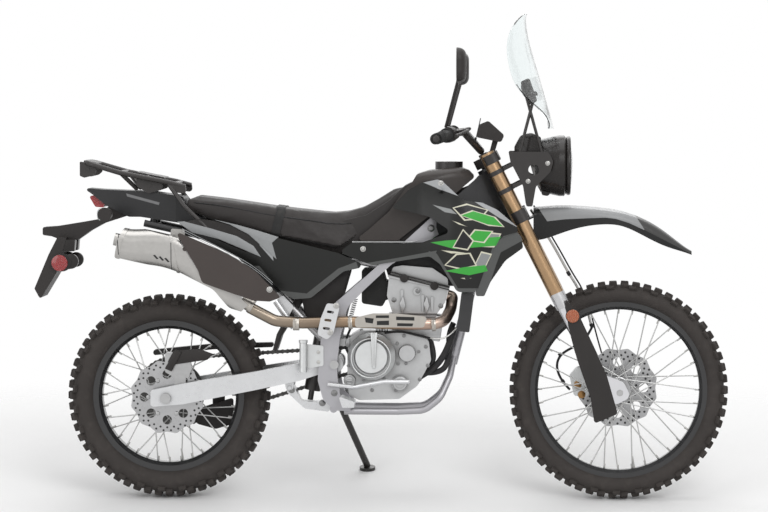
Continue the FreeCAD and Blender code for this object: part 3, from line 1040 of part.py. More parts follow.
lower_leg = without("lower_leg", joined("lower_leg_whole", inner_leg, lug),
                    across("axle_lug_bore", AXLE_AT, size.axle_radius + size.fit_gap, 60.0, 140.0))
fork_inner_tubes = piece("fork_inner_tubes", group("fork_inner_tubes", lower_leg, mirrored(lower_leg)), FORK_FRAME)

def fork_step(forward, up):
    """A point of the fork's frame as a step from the head."""
    spot = FORK_FRAME.multVec(Vector(forward, 0, up))
    return spot.x - HEAD[0], spot.z - HEAD[1]


def upright(points, lift=0.0):
    """Steps from the head taken into the fork's frame."""
    back = FORK_FRAME.inverse()
    turned = []
    for p in steps(HEAD, *points):
        spot = back.multVec(Vector(p[0], 0.0, p[1] + lift))
        turned.append((spot.x, spot.z, *p[2:]))
    return turned


GUARD = upright([(168, -248, 6), (178, -254, 8), (215, -306, 30), (300, -486, 60), (336, -610, 10), (262, -641, 8), (250, -560, 60),
                 (206, -436, 60), (178, -330, 40)])
GUARD_SIDE_IN = HALF_FORK + size.outer_tube_radius + size.fit_gap
guard_skin = without("guard_skin", rod("guard_outside", (LEG[0], LEG[1], -420), (LEG[0], LEG[1], -120), size.outer_tube_radius + 8),
                     rod("guard_inside", (LEG[0], LEG[1], -421), (LEG[0], LEG[1], -119), size.outer_tube_radius + 4))
guard_fin = slab("guard_fin", "side", GUARD, GUARD_SIDE_IN, GUARD_SIDE_IN + 4.0)
guard = guard_fin
fork_guards = piece("fork_guards", group("fork_guards", guard, mirrored(guard)), FORK_FRAME)
front_axle = piece("front_axle", joined(
    "front_axle", across("front_axle_bar", AXLE_AT, "axle_radius", -124.0, 124.0),
    across("front_axle_spacer", AXLE_AT, 15.0, 64.6, 72.7), across("front_axle_collar", AXLE_AT, 15.0, -72.7, -54.0)), FORK_FRAME)
FRONT_CALIPER = [(-60, AXLE_UP + 105, 10), (-24, AXLE_UP + 120, 10), (-0.3, AXLE_UP + 95, 10), (-0.3, AXLE_UP + 36, 10),
                 (-40, AXLE_UP + 20, 10), (-76, AXLE_UP + 40, 10)]
front_caliper = piece("front_caliper", without(
    "front_caliper", joined("front_caliper_whole", slab("front_caliper_block", "side", FRONT_CALIPER, size.front_disc_side - 16, size.front_disc_side + 20),
                            slab("caliper_hanger", "side", [(-40, AXLE_UP + 30, 6), (-0.3, AXLE_UP + 36), (-0.3, AXLE_UP + 68), (-40, AXLE_UP + 74, 6)],
                                 size.front_disc_side + 12, size.front_disc_side + 30)),
    across("front_disc_slot", AXLE_AT, size.front_disc_radius + 5.0, size.front_disc_side - slot_width,
           size.front_disc_side + slot_width)), FORK_FRAME)


FENDER_TOP = [(78, 36), (84, 40, 6), (138, 47, 60), (278, 41, 100), (357, 28, 100), (437, -7, 100), (532, -71, 40), (570, -100, 3)]
FENDER_LOW = [(516, -86, 40), (405, -42, 100), (341, -16, 60), (303, -10, 40), (214, -23, 80), (125, -48, 60), (84, -64, 10)]
FENDER_LEVELS = ((70, -64, 42, 57), (140, -48, 47, 62), (214, -24, 46.5, 70), (278, -14, 41, 72), (341, -17, 31, 70), (405, -43, 11, 62),
                 (470, -76, -24, 50), (525, -96, -66, 36), (572, -112, -99, 22))
fender_shell = lofted("fender_shell", "front", [
    (along(HEAD, x), arch(half, above(HEAD, low), above(HEAD, top), 4.0, min(12.0, (top - low) * 0.2), min(24.0, (top - low) * 0.5)))
    for x, low, top, half in FENDER_LEVELS])
fender_tongue = placed(slab("fender_tongue", "side", [(22, -20.3), (86, -20.3), (84, -25), (22, -25)], -58.0, 58.0),
                       FORK_FRAME)
front_fender = piece("front_fender", joined("front_fender", fender_shell, fender_tongue))

LAMP_AT = (HEAD[0], 0.0, above(HEAD, 171))
lamp_shell = Body("lamp_shell", LAMP_AT)
lamp_shell.turn("side", [(60, 0), (74, 50), (92, 84), (150, 97), (166, 97), (172, 90), (178, 60), (180, 0)], "H_Axis")
headlight_lugs = across("headlight_lugs", (along(HEAD, 106), above(HEAD, 173)), 9.0, -97.7, 97.7)
HOOD = steps(HEAD, (8, 190, 10), (8, 232, 12), (28, 268, 20), (62, 276, 20), (92, 262, 6), (92, 190, 6))
lamp_hood = shared("lamp_hood", slab("hood_side", "side", HOOD, -80.0, 80.0), lofted("hood_form", "front", [
    (along(HEAD, x), loaf(half, half, above(HEAD, 180), above(HEAD, 284), 40.0, 6.0)) for x, half in ((0, 40), (40, 62), (100, 72))]))
lamp_foot = slab("lamp_foot", "side", steps(HEAD, (92, 100, 6), (126, 100, 6), (118, 74, 10), (96, 78, 6)), -30.0, 30.0)
headlight_piece = piece("headlight", joined("headlight", lamp_shell.item, headlight_lugs, lamp_hood, lamp_foot))
SCREEN_LEVELS = ((652, 48, 42, 25), (620, 45, 10, 82), (560, 56, -12, 126), (490, 76, -6, 148), (430, 94, 15, 150),
                 (375, 110, 62, 140), (290, 134, 118, 92))
SCREEN_WALL = 4.0


def screen_section(name, ahead, up, middle, edge, half):
    """One closed crescent of the windscreen at a height."""
    def arc(shift):
        ends = [Vector(HEAD[0] + edge + shift, side * half, above(HEAD, up)) for side in (-1, 1)]
        return Part.Arc(ends[0], Vector(HEAD[0] + middle + shift, 0, above(HEAD, up)), ends[1]).toShape()
    rear, front = arc(-SCREEN_WALL), arc(ahead)
    caps = [Part.LineSegment(rear.Vertexes[i].Point, front.Vertexes[i].Point).toShape() for i in (0, 1)]
    section = doc.addObject("Part::Feature", name)
    section.Shape = Part.Wire(Part.sortEdges([rear, caps[1], front, caps[0]])[0])
    return section


def screen_loft(name, wall):
    """The windscreen's shell, or with a thick wall the space in front of its inner face."""
    loft = doc.addObject("Part::Loft", name)
    loft.Sections = [screen_section(f"{name}_section{i}", wall, *level) for i, level in enumerate(SCREEN_LEVELS)]
    loft.Solid = True
    return loft


windscreen = screen_loft("windscreen", 0.0)
screen_outside = screen_loft("screen_outside", 60.0)
screen_piece = piece("windscreen", windscreen)


def fork_collar(name, up):
    """A ring round an outer tube with an arm that carries the lamp's plate."""
    ring = without(name + "_ring", rod(name + "_outside", (LEG[0], LEG[1], up), (LEG[0], LEG[1], up + 14), size.outer_tube_radius + 3),
                   rod(name + "_inside", (LEG[0], LEG[1], up - 1), (LEG[0], LEG[1], up + 15), size.outer_tube_radius + size.fit_gap))
    arm = slab(name + "_arm", "side", [(50, up + 1), (92, up + 1), (92, up + 13), (50, up + 13)], 97.0, 101.0)
    return placed(joined(name, ring, arm), FORK_FRAME)


LAMP_PLATE = steps(HEAD, (-11, 217, 6), (115, 217, 20), (131, 186, 20), (122, 154, 20), (76, 107, 20), (65, 44, 6),
                   (46, 44, 6), (36, 107, 20), (-5, 186, 10))
lamp_plate = without("lamp_plate", slab("lamp_plate_sheet", "side", LAMP_PLATE, 98.0, 102.0),
                     across("lamp_plate_hole", steps(HEAD, (69, 160))[0], 17.0, 90.0, 110.0))
screen_leg = rod("screen_leg", (along(HEAD, 24), 96.0, above(HEAD, 210)), (along(HEAD, 66), 96.0, above(HEAD, 372)), 4.0)
screen_leg2 = rod("screen_leg2", (along(HEAD, 97), 96.0, above(HEAD, 205)), (along(HEAD, 43), 96.0, above(HEAD, 401)), 4.0)
SCREEN_PLATE = steps(HEAD, (32, 440, 8), (53, 450, 8), (79, 376, 8), (60, 363, 8), (34, 400, 8))
screen_plate = slab("screen_plate", "side", SCREEN_PLATE, 92.0, 96.0)
screen_boss = without("screen_boss", rod("screen_boss_bar", (along(HEAD, 54), 94.0, above(HEAD, 400)),
                                         (along(HEAD, 90), 94.0, above(HEAD, 400)), 7.0), screen_outside)
collars = [fork_collar(f"lamp_collar{i}", up) for i, up in enumerate((86.0, 150.0))]
lamp_bracket = joined("lamp_bracket", lamp_plate, screen_leg, screen_leg2, screen_plate, screen_boss, *collars)
screen_bracket = piece("screen_bracket", group("screen_bracket", lamp_bracket, mirrored(lamp_bracket)))

METER = steps(HEAD, (-113, 262, 6), (-104, 302, 10), (-75, 314, 10), (-24, 268, 10), (-34, 246, 10))
meter_case = slab("meter_case", "side", METER, -58.0, 58.0)
METER_STAY = upright([(-60, 258), (-40, 262), fork_step(50, size.clamp_gap + 15.3), fork_step(28, size.clamp_gap + 15.3)])
meter_stay = slab("meter_stay", "side", METER_STAY, 30.0, 34.0)
instrument = piece("instrument", joined("instrument", placed(meter_case, FORK_FRAME.inverse()), meter_stay,
                                        mirrored(meter_stay)), FORK_FRAME)

GRIP_START, GRIP_END = (-46.0, 262.0, 330.0), (-93.0, size.bar_half_width, 338.0)
BAR = [(BAR_AT[0], 0.0, BAR_AT[1]), (BAR_AT[0], 70.0, BAR_AT[1]), (-10.0, 190.0, 318.0), GRIP_START, GRIP_END]
left_bar = tube("left_bar", BAR, "bar_radius", 60.0)
handlebar = piece("handlebar", joined("handlebar", left_bar, mirrored(left_bar)), FORK_FRAME)


def sleeve(name, share_from, share_to, radius):
    """A sleeve round the end of the bar, between two shares of the grip's length."""
    start, end = Vector(*GRIP_START), Vector(*GRIP_END)
    low, high = start + (end - start) * share_from, start + (end - start) * share_to
    return without(name, rod(name + "_solid", low, high, radius), rod(name + "_bore", low - (end - start) * 0.1,
                                                                     high + (end - start) * 0.1, size.bar_radius + 0.2))


grip = sleeve("grip", 0.22, 1.02, 16.5)
grips = piece("grips", group("grips", grip, mirrored(grip)), FORK_FRAME)
perch = sleeve("perch", 0.02, 0.20, 24.0)
lever = tube("lever", [(-30.0, 272.0, 328.0), (8.0, 300.0, 318.0), (0.0, 340.0, 316.0), (-32.0, 420.0, 318.0)], 5.0, 20.0)
control = joined("control", perch, lever)
controls = piece("controls", group("controls", control, mirrored(control)), FORK_FRAME)
MIRROR_AT = (along(HEAD, -163), 372.0, above(HEAD, 485))
def mirror_edge(share):
    """The mirror's outline at a share of its full size."""
    wide, tall = 64.0 * share, 58.0 * share
    y, z = MIRROR_AT[1] + 6.0, MIRROR_AT[2]
    return [(y - wide, z + tall * 0.8, 24), (y - wide * 0.9, z - tall, 30), (y + wide, z - tall * 0.8, 30), (y + wide, z + tall, 36)]


mirror_head = lofted("mirror_head", "front", [(MIRROR_AT[0] - 8, mirror_edge(1.0)), (MIRROR_AT[0] + 8, mirror_edge(0.96)),
                                              (MIRROR_AT[0] + 22, mirror_edge(0.6))])
MIRROR_FOOT = fork_point(-51, 356, 276)
mirror_stalk = rod("mirror_stalk", MIRROR_FOOT, (MIRROR_AT[0], 340.0, MIRROR_AT[2] - 30), 5.0)
mirror = joined("mirror", mirror_head, without("stalk_end", mirror_stalk, placed(perch, FORK_FRAME)))
mirrors = piece("mirrors", group("mirrors", mirror, mirrored(mirror)))

# Side stand: its foot rests on the ground of the parked motorcycle

ground_up = LEANED.inverse().Rotation.multVec(Vector(0, 0, 1))
stand_leg = rod("stand_leg", STAND_PIVOT, FOOT + ground_up * 12.0, "stand_radius")
stand_foot = rod("stand_foot", FOOT, FOOT + ground_up * 10.0, 26.0)
stand_knuckle = rod("stand_knuckle", STAND_PIVOT - STAND_AXIS * 10.0, STAND_PIVOT + STAND_AXIS * 12.0, 15.0)
stand_bore = rod("stand_bore", STAND_PIVOT - STAND_AXIS * 30.0, STAND_PIVOT + STAND_AXIS * 30.0, 7.5 + size.fit_gap)
side_stand = piece("side_stand", without("side_stand", joined("stand_whole", stand_leg, stand_foot, stand_knuckle), stand_bore))

doc.recompute()
problems = [f"{item.Name}: {item.State}" for item in doc.Objects if "Invalid" in item.State or "Error" in item.State]
for item in PIECES:
    if item.Shape.isNull() or not item.Shape.isValid():
        problems.append(f"{item.Label}: no valid shape")
if problems:
    raise SystemExit("\n".join(problems))

# The origin is on the ground, below the middle of the parked motorcycle
box = FreeCAD.BoundBox()
for item in PIECES:
    box.add(item.Shape.optimalBoundingBox(True, False))
TO_ORIGIN = Placement(Vector(-box.Center.x, -box.Center.y, -box.ZMin), Rotation())
PARKED = TO_ORIGIN.multiply(LEANED)
os.makedirs("parts", exist_ok=True)
for item in PIECES:
    item.Placement = TO_ORIGIN.multiply(item.Placement)
    item.Shape.exportStep(os.path.join("parts", item.Label + ".step"))
print(f"{len(PIECES)} pieces, box {box}")
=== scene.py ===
"""A dual sport motorcycle parked on its side stand, dressed around its CAD frame."""

import json
import logging
import math
from dataclasses import dataclass, field
from enum import Enum
from functools import reduce
from typing import Iterable, Optional, Sequence

import bpy
from mathutils import Matrix, Vector
from mathutils.bvhtree import BVHTree


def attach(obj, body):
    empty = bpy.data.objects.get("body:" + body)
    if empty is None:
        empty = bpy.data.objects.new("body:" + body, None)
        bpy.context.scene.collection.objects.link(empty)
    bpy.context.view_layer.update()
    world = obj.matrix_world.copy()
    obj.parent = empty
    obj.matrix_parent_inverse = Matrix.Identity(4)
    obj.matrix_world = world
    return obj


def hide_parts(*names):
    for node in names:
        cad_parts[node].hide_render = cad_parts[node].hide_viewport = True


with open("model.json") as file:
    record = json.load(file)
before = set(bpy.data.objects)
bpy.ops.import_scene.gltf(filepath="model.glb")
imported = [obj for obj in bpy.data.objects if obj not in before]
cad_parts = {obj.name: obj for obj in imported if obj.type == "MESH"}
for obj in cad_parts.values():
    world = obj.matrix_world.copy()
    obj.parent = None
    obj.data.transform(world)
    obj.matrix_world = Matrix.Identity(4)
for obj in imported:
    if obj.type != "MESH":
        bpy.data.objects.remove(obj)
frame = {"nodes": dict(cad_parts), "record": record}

LOG = logging.getLogger("motorcycle")
MM = 0.001

# Points and directions of the upright motorcycle, in metres
REAR_HUB = Vector((0.0, 0.0, 326.0)) * MM
FRONT_HUB = Vector((1440.0, 0.0, 349.0)) * MM
HEAD_FOOT = Vector((1097.868, 0.0, 893.0)) * MM
OUTPUT = Vector((615.0, 0.0, 442.0)) * MM
FORWARD, LEFT = Vector((1.0, 0.0, 0.0)), Vector((0.0, 1.0, 0.0))

# The side view: its width, its origin and the camera's foot in pixels, the size of a pixel in metres, and the
# camera's distance in millimetres
VIEW_WIDTH = 768.0
VIEW_ORIGIN = (168.0, 498.5)
EYE_FOOT = (500.0, 105.0)
PIXEL = 3.194 * MM
EYE_DISTANCE = 9500.0

# How wide the edge of a painted patch is, and the slope between faces from which an edge is rounded
PAINT_EDGE = 0.6 * MM
SHARP_ANGLE = math.radians(32.0)

# The motorcycle's right side and its left one, as signs of a side offset
SIDES = (-1.0, 1.0)

Outline = tuple[tuple[float, float], ...]


def joint(name: str) -> dict:
    """The record of one joint."""
    return next(j for j in frame["record"]["behaviour"]["joints"] if j["name"] == name)


def upright_frame() -> Matrix:
    """Where the upright motorcycle's axes lie in the parked one.

    Returns:
        The matrix from the upright frame, in metres, to the frame of the CAD.
    """
    rear = Vector(joint("rear_wheel_spin")["pos_m"])
    head = Vector(joint("steering_turn")["pos_m"])
    side = Vector(joint("rear_wheel_spin")["axis"]).normalized()
    reach = (head - rear).normalized()
    slope = math.atan2(HEAD_FOOT.z - REAR_HUB.z, HEAD_FOOT.x - REAR_HUB.x)
    up = math.sin(slope) * reach + math.cos(slope) * reach.cross(side)
    forward = side.cross(up)
    turn = Matrix((forward, side, up)).transposed().to_4x4()
    return Matrix.Translation(rear) @ turn @ Matrix.Translation(-REAR_HUB)


class Place(Enum):
    """The frame that a piece is modelled in."""

    UPRIGHT = "upright"
    PARKED = "parked"

    @property
    def matrix(self) -> Matrix:
        """The matrix from this frame to the frame of the CAD."""
        return Matrix.Identity(4) if self is Place.PARKED else PARKED


PARKED = upright_frame()


def at(x: float, y: float, z: float) -> Vector:
    """A point given in millimetres, in metres."""
    return Vector((x, y, z)) * MM


def seen(px: float, py: float, y: float) -> Vector:
    """A point of the upright motorcycle, from its pixel in the side view and its offset in millimetres."""
    return Vector(((px - VIEW_ORIGIN[0]) * PIXEL, y * MM, (VIEW_ORIGIN[1] - py) * PIXEL))


def shown(px: float, py: float, y: float) -> Vector:
    """The point at a side offset in millimetres that the photograph's view shows at a pixel."""
    eye = seen(*EYE_FOOT, -EYE_DISTANCE)
    return eye.lerp(seen(px, py, 0.0), 1.0 + y / EYE_DISTANCE)


def on_circle(centre: Vector, radius: float, angle: float) -> Vector:
    """The point of a circle in the side view, whose sizes are in metres, at an angle in radians."""
    return centre + Vector((math.cos(angle), 0, math.sin(angle))) * radius


def toward(direction: Vector) -> Matrix:
    """The turn that takes the up axis to a direction."""
    return direction.to_track_quat("Z", "Y").to_matrix().to_4x4()


# Materials


class Graph:
    """The nodes of one material, with the few steps that every finish uses."""

    def __init__(self, name: str) -> None:
        """Starts a material of that name with its shader.

        Args:
            name: the material's name.
        """
        self.material = bpy.data.materials.new(name)
        self.material.use_nodes = True
        self.tree = self.material.node_tree
        self.shader = self.tree.nodes["Principled BSDF"]
        self.place = self.tree.nodes.new("ShaderNodeTexCoord").outputs["Object"]

    def add(self, kind: str, **values: object) -> bpy.types.Node:
        """Adds a node.

        Args:
            kind: the node's type without its prefix.
            values: properties of the node, or values of its inputs by name, an underscore for each space.

        Returns:
            The node.
        """
        node = self.tree.nodes.new("ShaderNode" + kind)
        for key, value in values.items():
            socket = node.inputs.get(key.replace("_", " "))
            if hasattr(node, key) and socket is None:
                setattr(node, key, value)
            else:
                self.put(value, socket)
        return node

    def put(self, value: object, socket: bpy.types.NodeSocket) -> None:
        """Links an output to an input, or sets the input to a plain value.

        Args:
            value: an output or a plain value.
            socket: the input.
        """
        if isinstance(value, bpy.types.NodeSocket):
            self.tree.links.new(value, socket)
        else:
            socket.default_value = value

    @property
    def base(self) -> bpy.types.NodeSocket:
        """The output that feeds the shader's base colour."""
        return self.shader.inputs["Base Color"].links[0].from_socket

    def bike(self, centre: Vector = Vector()) -> bpy.types.NodeSocket:
        """Object coordinates turned back to the upright motorcycle.

        Args:
            centre: the point of the upright motorcycle that becomes the middle.

        Returns:
            The vector output.
        """
        matrix = PARKED @ Matrix.Translation(centre)
        node = self.add("Mapping", vector_type="TEXTURE", Vector=self.place)
        node.inputs["Location"].default_value = matrix.to_translation()
        node.inputs["Rotation"].default_value = matrix.to_euler()
        return node.outputs["Vector"]

    def noise(self, scale: float, detail: float = 3.0, where: Optional[bpy.types.NodeSocket] = None,
              stretch: Vector = Vector((1.0, 1.0, 1.0))) -> bpy.types.NodeSocket:
        """A noise value.

        Args:
            scale: cells per metre.
            detail: octaves.
            where: the coordinates, or none for Object coordinates.
            stretch: how many times finer the noise is along each axis.

        Returns:
            The noise's value.
        """
        spread = self.add("Mapping", Vector=where or self.place, Scale=stretch)
        return self.add("TexNoise", Vector=spread.outputs["Vector"], Scale=scale,
                        Detail=detail).outputs["Fac"]

    def span(self, value: bpy.types.NodeSocket, low: float, high: float, start: float = 0.0,
             end: float = 1.0) -> bpy.types.NodeSocket:
        """A value stretched from one range to another, held at its ends."""
        node = self.add("MapRange", Value=value, From_Min=low, From_Max=high, To_Min=start, To_Max=end)
        return node.outputs["Result"]

    def mix(self, share: object, first: object, second: object) -> bpy.types.NodeSocket:
        """A colour between two others.

        Args:
            share: how much of the second it takes.
            first: the first colour.
            second: the second colour.

        Returns:
            The output that holds it.
        """
        node = self.add("Mix", data_type="RGBA")
        for index, value in ((0, share), (6, first), (7, second)):
            self.put(value, node.inputs[index])
        return node.outputs[2]

    def sum(self, operation: str, first: object, second: object) -> bpy.types.NodeSocket:
        """The result of one operation on two values.

        Args:
            operation: the Math node's operation.
            first: the first value.
            second: the second value.

        Returns:
            The output that holds it.
        """
        node = self.add("Math", operation=operation)
        self.put(first, node.inputs[0])
        self.put(second, node.inputs[1])
        return node.outputs[0]

    def vector(self, operation: str, *values: object) -> bpy.types.Node:
        """A node of one operation on vectors.

        Args:
            operation: the Vector Math node's operation.
            values: what it works on, in the order of its inputs.

        Returns:
            The node.
        """
        node = self.add("VectorMath", operation=operation)
        for value, socket in zip(values, node.inputs):
            self.put(value, socket)
        return node

    def gathered(self, operation: str, masks: Iterable[bpy.types.NodeSocket]) -> bpy.types.NodeSocket:
        """Several masks as one, by MINIMUM where all have to hold or MAXIMUM where one is enough."""
        return reduce(lambda first, second: self.sum(operation, first, second), masks)

    def wave(self, scale: float, way: str) -> bpy.types.NodeSocket:
        """Even bands across one axis of the upright motorcycle."""
        return self.add("TexWave", Vector=self.bike(), Scale=scale, bands_direction=way).outputs["Fac"]

    def bump(self, height: bpy.types.NodeSocket, depth: float, strength: float = 1.0,
             under: Optional[bpy.types.NodeSocket] = None) -> bpy.types.NodeSocket:
        """A bump of that depth in metres, over another where one is given.

        Args:
            height: the height.
            depth: how deep the bump is, in metres.
            strength: its strength.
            under: the bump under it, or none.

        Returns:
            The output that holds the normal.
        """
        node = self.add("Bump", Height=height, Distance=depth, Strength=strength)
        if under is not None:
            self.put(under, node.inputs["Normal"])
        return node.outputs["Normal"]

    def feed(self, name: str, value: object) -> None:
        """Sets or links one input of the shader."""
        self.put(value, self.shader.inputs[name])

    def half(self, where: bpy.types.NodeSocket, start: tuple[float, float],
             end: tuple[float, float]) -> bpy.types.NodeSocket:
        """A mask that is 1 to the left of a line in the side view.

        Args:
            where: coordinates of the upright motorcycle.
            start: the line's first point, as pixels of the side view.
            end: its second point.

        Returns:
            The mask.
        """
        first, second = seen(*start, 0.0), seen(*end, 0.0)
        line = (second - first).normalized()
        normal = Vector((-line.z, 0.0, line.x))
        edge = first.dot(normal)
        place = self.vector("DOT_PRODUCT", where, normal).outputs["Value"]
        return self.span(place, edge - PAINT_EDGE, edge + PAINT_EDGE)

    def patch(self, where: bpy.types.NodeSocket, corners: Outline) -> bpy.types.NodeSocket:
        """A mask that is 1 inside a convex outline.

        Args:
            where: coordinates of the upright motorcycle.
            corners: the outline's corners, anticlockwise as the side view shows them.

        Returns:
            The mask.
        """
        ends = corners[1:] + corners[:1]
        return self.gathered("MINIMUM", (self.half(where, start, end) for start, end in zip(corners, ends)))

    def recolour(self, colour: Sequence[float], outlines: Sequence[Outline]) -> bpy.types.NodeSocket:
        """Lays a second colour over the base inside convex outlines of the side view.

        Args:
            colour: the second colour.
            outlines: the outlines, each going round anticlockwise.

        Returns:
            The mask of the outlines.
        """
        where = self.bike()
        mask = self.gathered("MAXIMUM", (self.patch(where, outline) for outline in outlines))
        mottled = self.mix(self.noise(60.0, 3.0), tint(colour, 0.92), tint(colour, 1.08))
        self.feed("Base Color", self.mix(mask, self.base, mottled))
        return mask

    def radius(self, centre: Vector) -> bpy.types.NodeSocket:
        """How far a point is from an axis across the motorcycle, in metres."""
        flat = self.vector("MULTIPLY", self.bike(centre), (1.0, 0.0, 1.0))
        return self.vector("LENGTH", flat.outputs[0]).outputs["Value"]


def tint(colour: Sequence[float], factor: float) -> tuple[float, float, float, float]:
    """A colour made lighter or darker, with its alpha."""
    return tuple(min(1.0, part * factor) for part in colour[:3]) + (1.0,)


GREEN, CREAM, STONE, SOOT = (0.055, 0.42, 0.06), (0.74, 0.72, 0.58), (0.30, 0.31, 0.31), (0.014, 0.014, 0.016)
PALE_GREY, MID_GREY = (0.40, 0.41, 0.42), (0.098, 0.101, 0.099)
SLOT_BLACK, CUT_BLACK = (0.012, 0.012, 0.012), (0.006, 0.006, 0.006)
COOL_BLACK, SIDE_BLACK = (0.02, 0.02, 0.021), (0.009, 0.0093, 0.0085)

# How far the pale edge of a shard reaches past its corners, in pixels of the side view
FRAME_REACH = 1.7


@dataclass(frozen=True)
class Finish:
    """What every finish has: a name, a colour, how rough it is and how much it varies."""

    name: str
    colour: tuple[float, float, float]
    rough: float = 0.5
    vary: float = 0.12

    def graph(self) -> Graph:
        """A graph with this finish's mottled colour and uneven gloss.

        Returns:
            The graph.
        """
        graph = Graph(self.name + "_finish")
        broad = graph.noise(9.0, 4.0)
        fine = graph.noise(85.0, 3.0)
        blend = graph.sum("ADD", graph.sum("MULTIPLY", broad, 0.65), graph.sum("MULTIPLY", fine, 0.35))
        share = graph.span(blend, 0.3, 0.7)
        graph.feed("Base Color", graph.mix(share, tint(self.colour, 1.0 - self.vary),
                                           tint(self.colour, 1.0 + self.vary)))
        graph.feed("Roughness", graph.span(fine, 0.25, 0.75, self.rough * 0.86, min(1.0, self.rough * 1.14)))
        return graph

    def dress(self, graph: Graph) -> None:
        """Adds what sets this finish apart."""

    def material(self) -> bpy.types.Material:
        """The finish's material, made once.

        Returns:
            The material.
        """
        made = bpy.data.materials.get(self.name + "_finish")
        if made is None:
            graph = self.graph()
            self.dress(graph)
            made = graph.material
        return made


@dataclass(frozen=True)
class Moulded(Finish):
    """Moulded plastic with a fine spark-eroded grain."""

    grain: float = 1500.0
    depth: float = 0.00012

    def dress(self, graph: Graph) -> None:
        """Adds the grain and faint waves.

        Args:
            graph: the nodes of the finish's material.
        """
        grain = graph.noise(self.grain, 2.0)
        waves = graph.noise(26.0, 1.0)
        graph.feed("Normal", graph.bump(grain, self.depth, 0.5, graph.bump(waves, 0.0006, 0.25)))
        graph.feed("Specular IOR Level", 0.34)


@dataclass(frozen=True)
class Painted(Finish):
    """Paint over metal, with fine flakes and a clear coat."""

    metallic: float = 0.55
    coat: float = 0.5

    def dress(self, graph: Graph) -> None:
        """Adds flakes, orange peel and the coat.

        Args:
            graph: the nodes of the finish's material.
        """
        flakes = graph.noise(5200.0, 1.0)
        peel = graph.noise(330.0, 2.0)
        graph.feed("Normal", graph.bump(flakes, 0.00003, 0.35, graph.bump(peel, 0.0001, 0.22)))
        graph.feed("Metallic", self.metallic)
        graph.feed("Coat Weight", self.coat)
        graph.feed("Coat Roughness", 0.16)


@dataclass(frozen=True)
class Metal(Finish):
    """Bare or plated metal with fine brush marks."""

    brush: float = 900.0
    lines: Vector = field(default=Vector((1.0, 1.0, 1.0)), hash=False, compare=False)
    depth: float = 0.00005

    def dress(self, graph: Graph) -> None:
        """Adds the brush marks.

        Args:
            graph: the nodes of the finish's material.
        """
        marks = graph.noise(self.brush, 2.0, graph.bike(), self.lines)
        graph.feed("Metallic", 1.0)
        graph.feed("Normal", graph.bump(marks, self.depth, 0.35))


@dataclass(frozen=True)
class Cast(Finish):
    """Die-cast alloy, with its sandy skin and painted shade darkening its hollows."""

    grain: float = 700.0

    def dress(self, graph: Graph) -> None:
        """Adds the sandy skin, and painted shade where the casting is hollow.

        Args:
            graph: the nodes of the finish's material.
        """
        # Painted shade: the base colour goes towards near-black where ambient occlusion finds the casting
        # hollow.
        shade = graph.add("AmbientOcclusion", Distance=0.03, samples=8).outputs["AO"]
        hollow_shade = graph.span(shade, 0.25, 0.95, 0.75, 0.0)
        graph.feed("Base Color", graph.mix(hollow_shade, graph.base, (0.05, 0.047, 0.043, 1.0)))
        sand = graph.noise(self.grain, 3.0)
        pits = graph.add("TexVoronoi", Vector=graph.place, Scale=self.grain * 0.6).outputs["Distance"]
        graph.feed("Metallic", 0.82)
        graph.feed("Normal", graph.bump(sand, 0.00022, 0.5, graph.bump(pits, 0.00012, 0.3)))


@dataclass(frozen=True)
class Rubber(Finish):
    """Moulded rubber, a little dusty, with flow marks."""

    def dress(self, graph: Graph) -> None:
        """Adds dust and flow marks.

        Args:
            graph: the nodes of the finish's material.
        """
        dust = graph.span(graph.noise(38.0, 5.0), 0.52, 0.72)
        graph.feed("Base Color", graph.mix(graph.sum("MULTIPLY", dust, 0.1), graph.base,
                                           (0.15, 0.13, 0.115, 1.0)))
        marks = graph.noise(420.0, 3.0)
        graph.feed("Normal", graph.bump(marks, 0.0002, 0.4))
        graph.feed("Specular IOR Level", 0.3)


@dataclass(frozen=True)
class Vinyl(Finish):
    """Grained seat cover: small rounded cells with creases between them."""

    cell: float = 430.0

    def dress(self, graph: Graph) -> None:
        """Adds the cells, soft wrinkles and a faint sheen.

        Args:
            graph: the nodes of the finish's material.
        """
        cells = graph.add("TexVoronoi", Vector=graph.place, Scale=self.cell,
                          feature="SMOOTH_F1").outputs["Distance"]
        pull = graph.noise(34.0, 3.0)
        graph.feed("Normal", graph.bump(cells, 0.0003, 0.5, graph.bump(pull, 0.0022, 0.35)))
        graph.feed("Sheen Weight", 0.12)
        graph.feed("Specular IOR Level", 0.35)


@dataclass(frozen=True)
class Clear(Finish):
    """Clear or tinted plastic."""

    def dress(self, graph: Graph) -> None:
        """Makes the plastic clear, with faint waves.

        Args:
            graph: the nodes of the finish's material.
        """
        waves = graph.noise(14.0, 2.0)
        graph.feed("Transmission Weight", 1.0)
        graph.feed("IOR", 1.45)
        graph.feed("Normal", graph.bump(waves, 0.0008, 0.2))


@dataclass(frozen=True)
class Lens(Finish):
    """A lamp's lens, ribbed on its inside."""

    ribs: float = 420.0

    def dress(self, graph: Graph) -> None:
        """Adds the ribs and a clear coat.

        Args:
            graph: the nodes of the finish's material.
        """
        ribs, cross = graph.wave(self.ribs, "Z"), graph.wave(self.ribs, "X")
        graph.feed("Normal", graph.bump(ribs, 0.0008, 0.6, graph.bump(cross, 0.0008, 0.4)))
        graph.feed("Coat Weight", 1.0)
        graph.feed("Coat Roughness", 0.04)
        graph.feed("Subsurface Weight", 0.15)


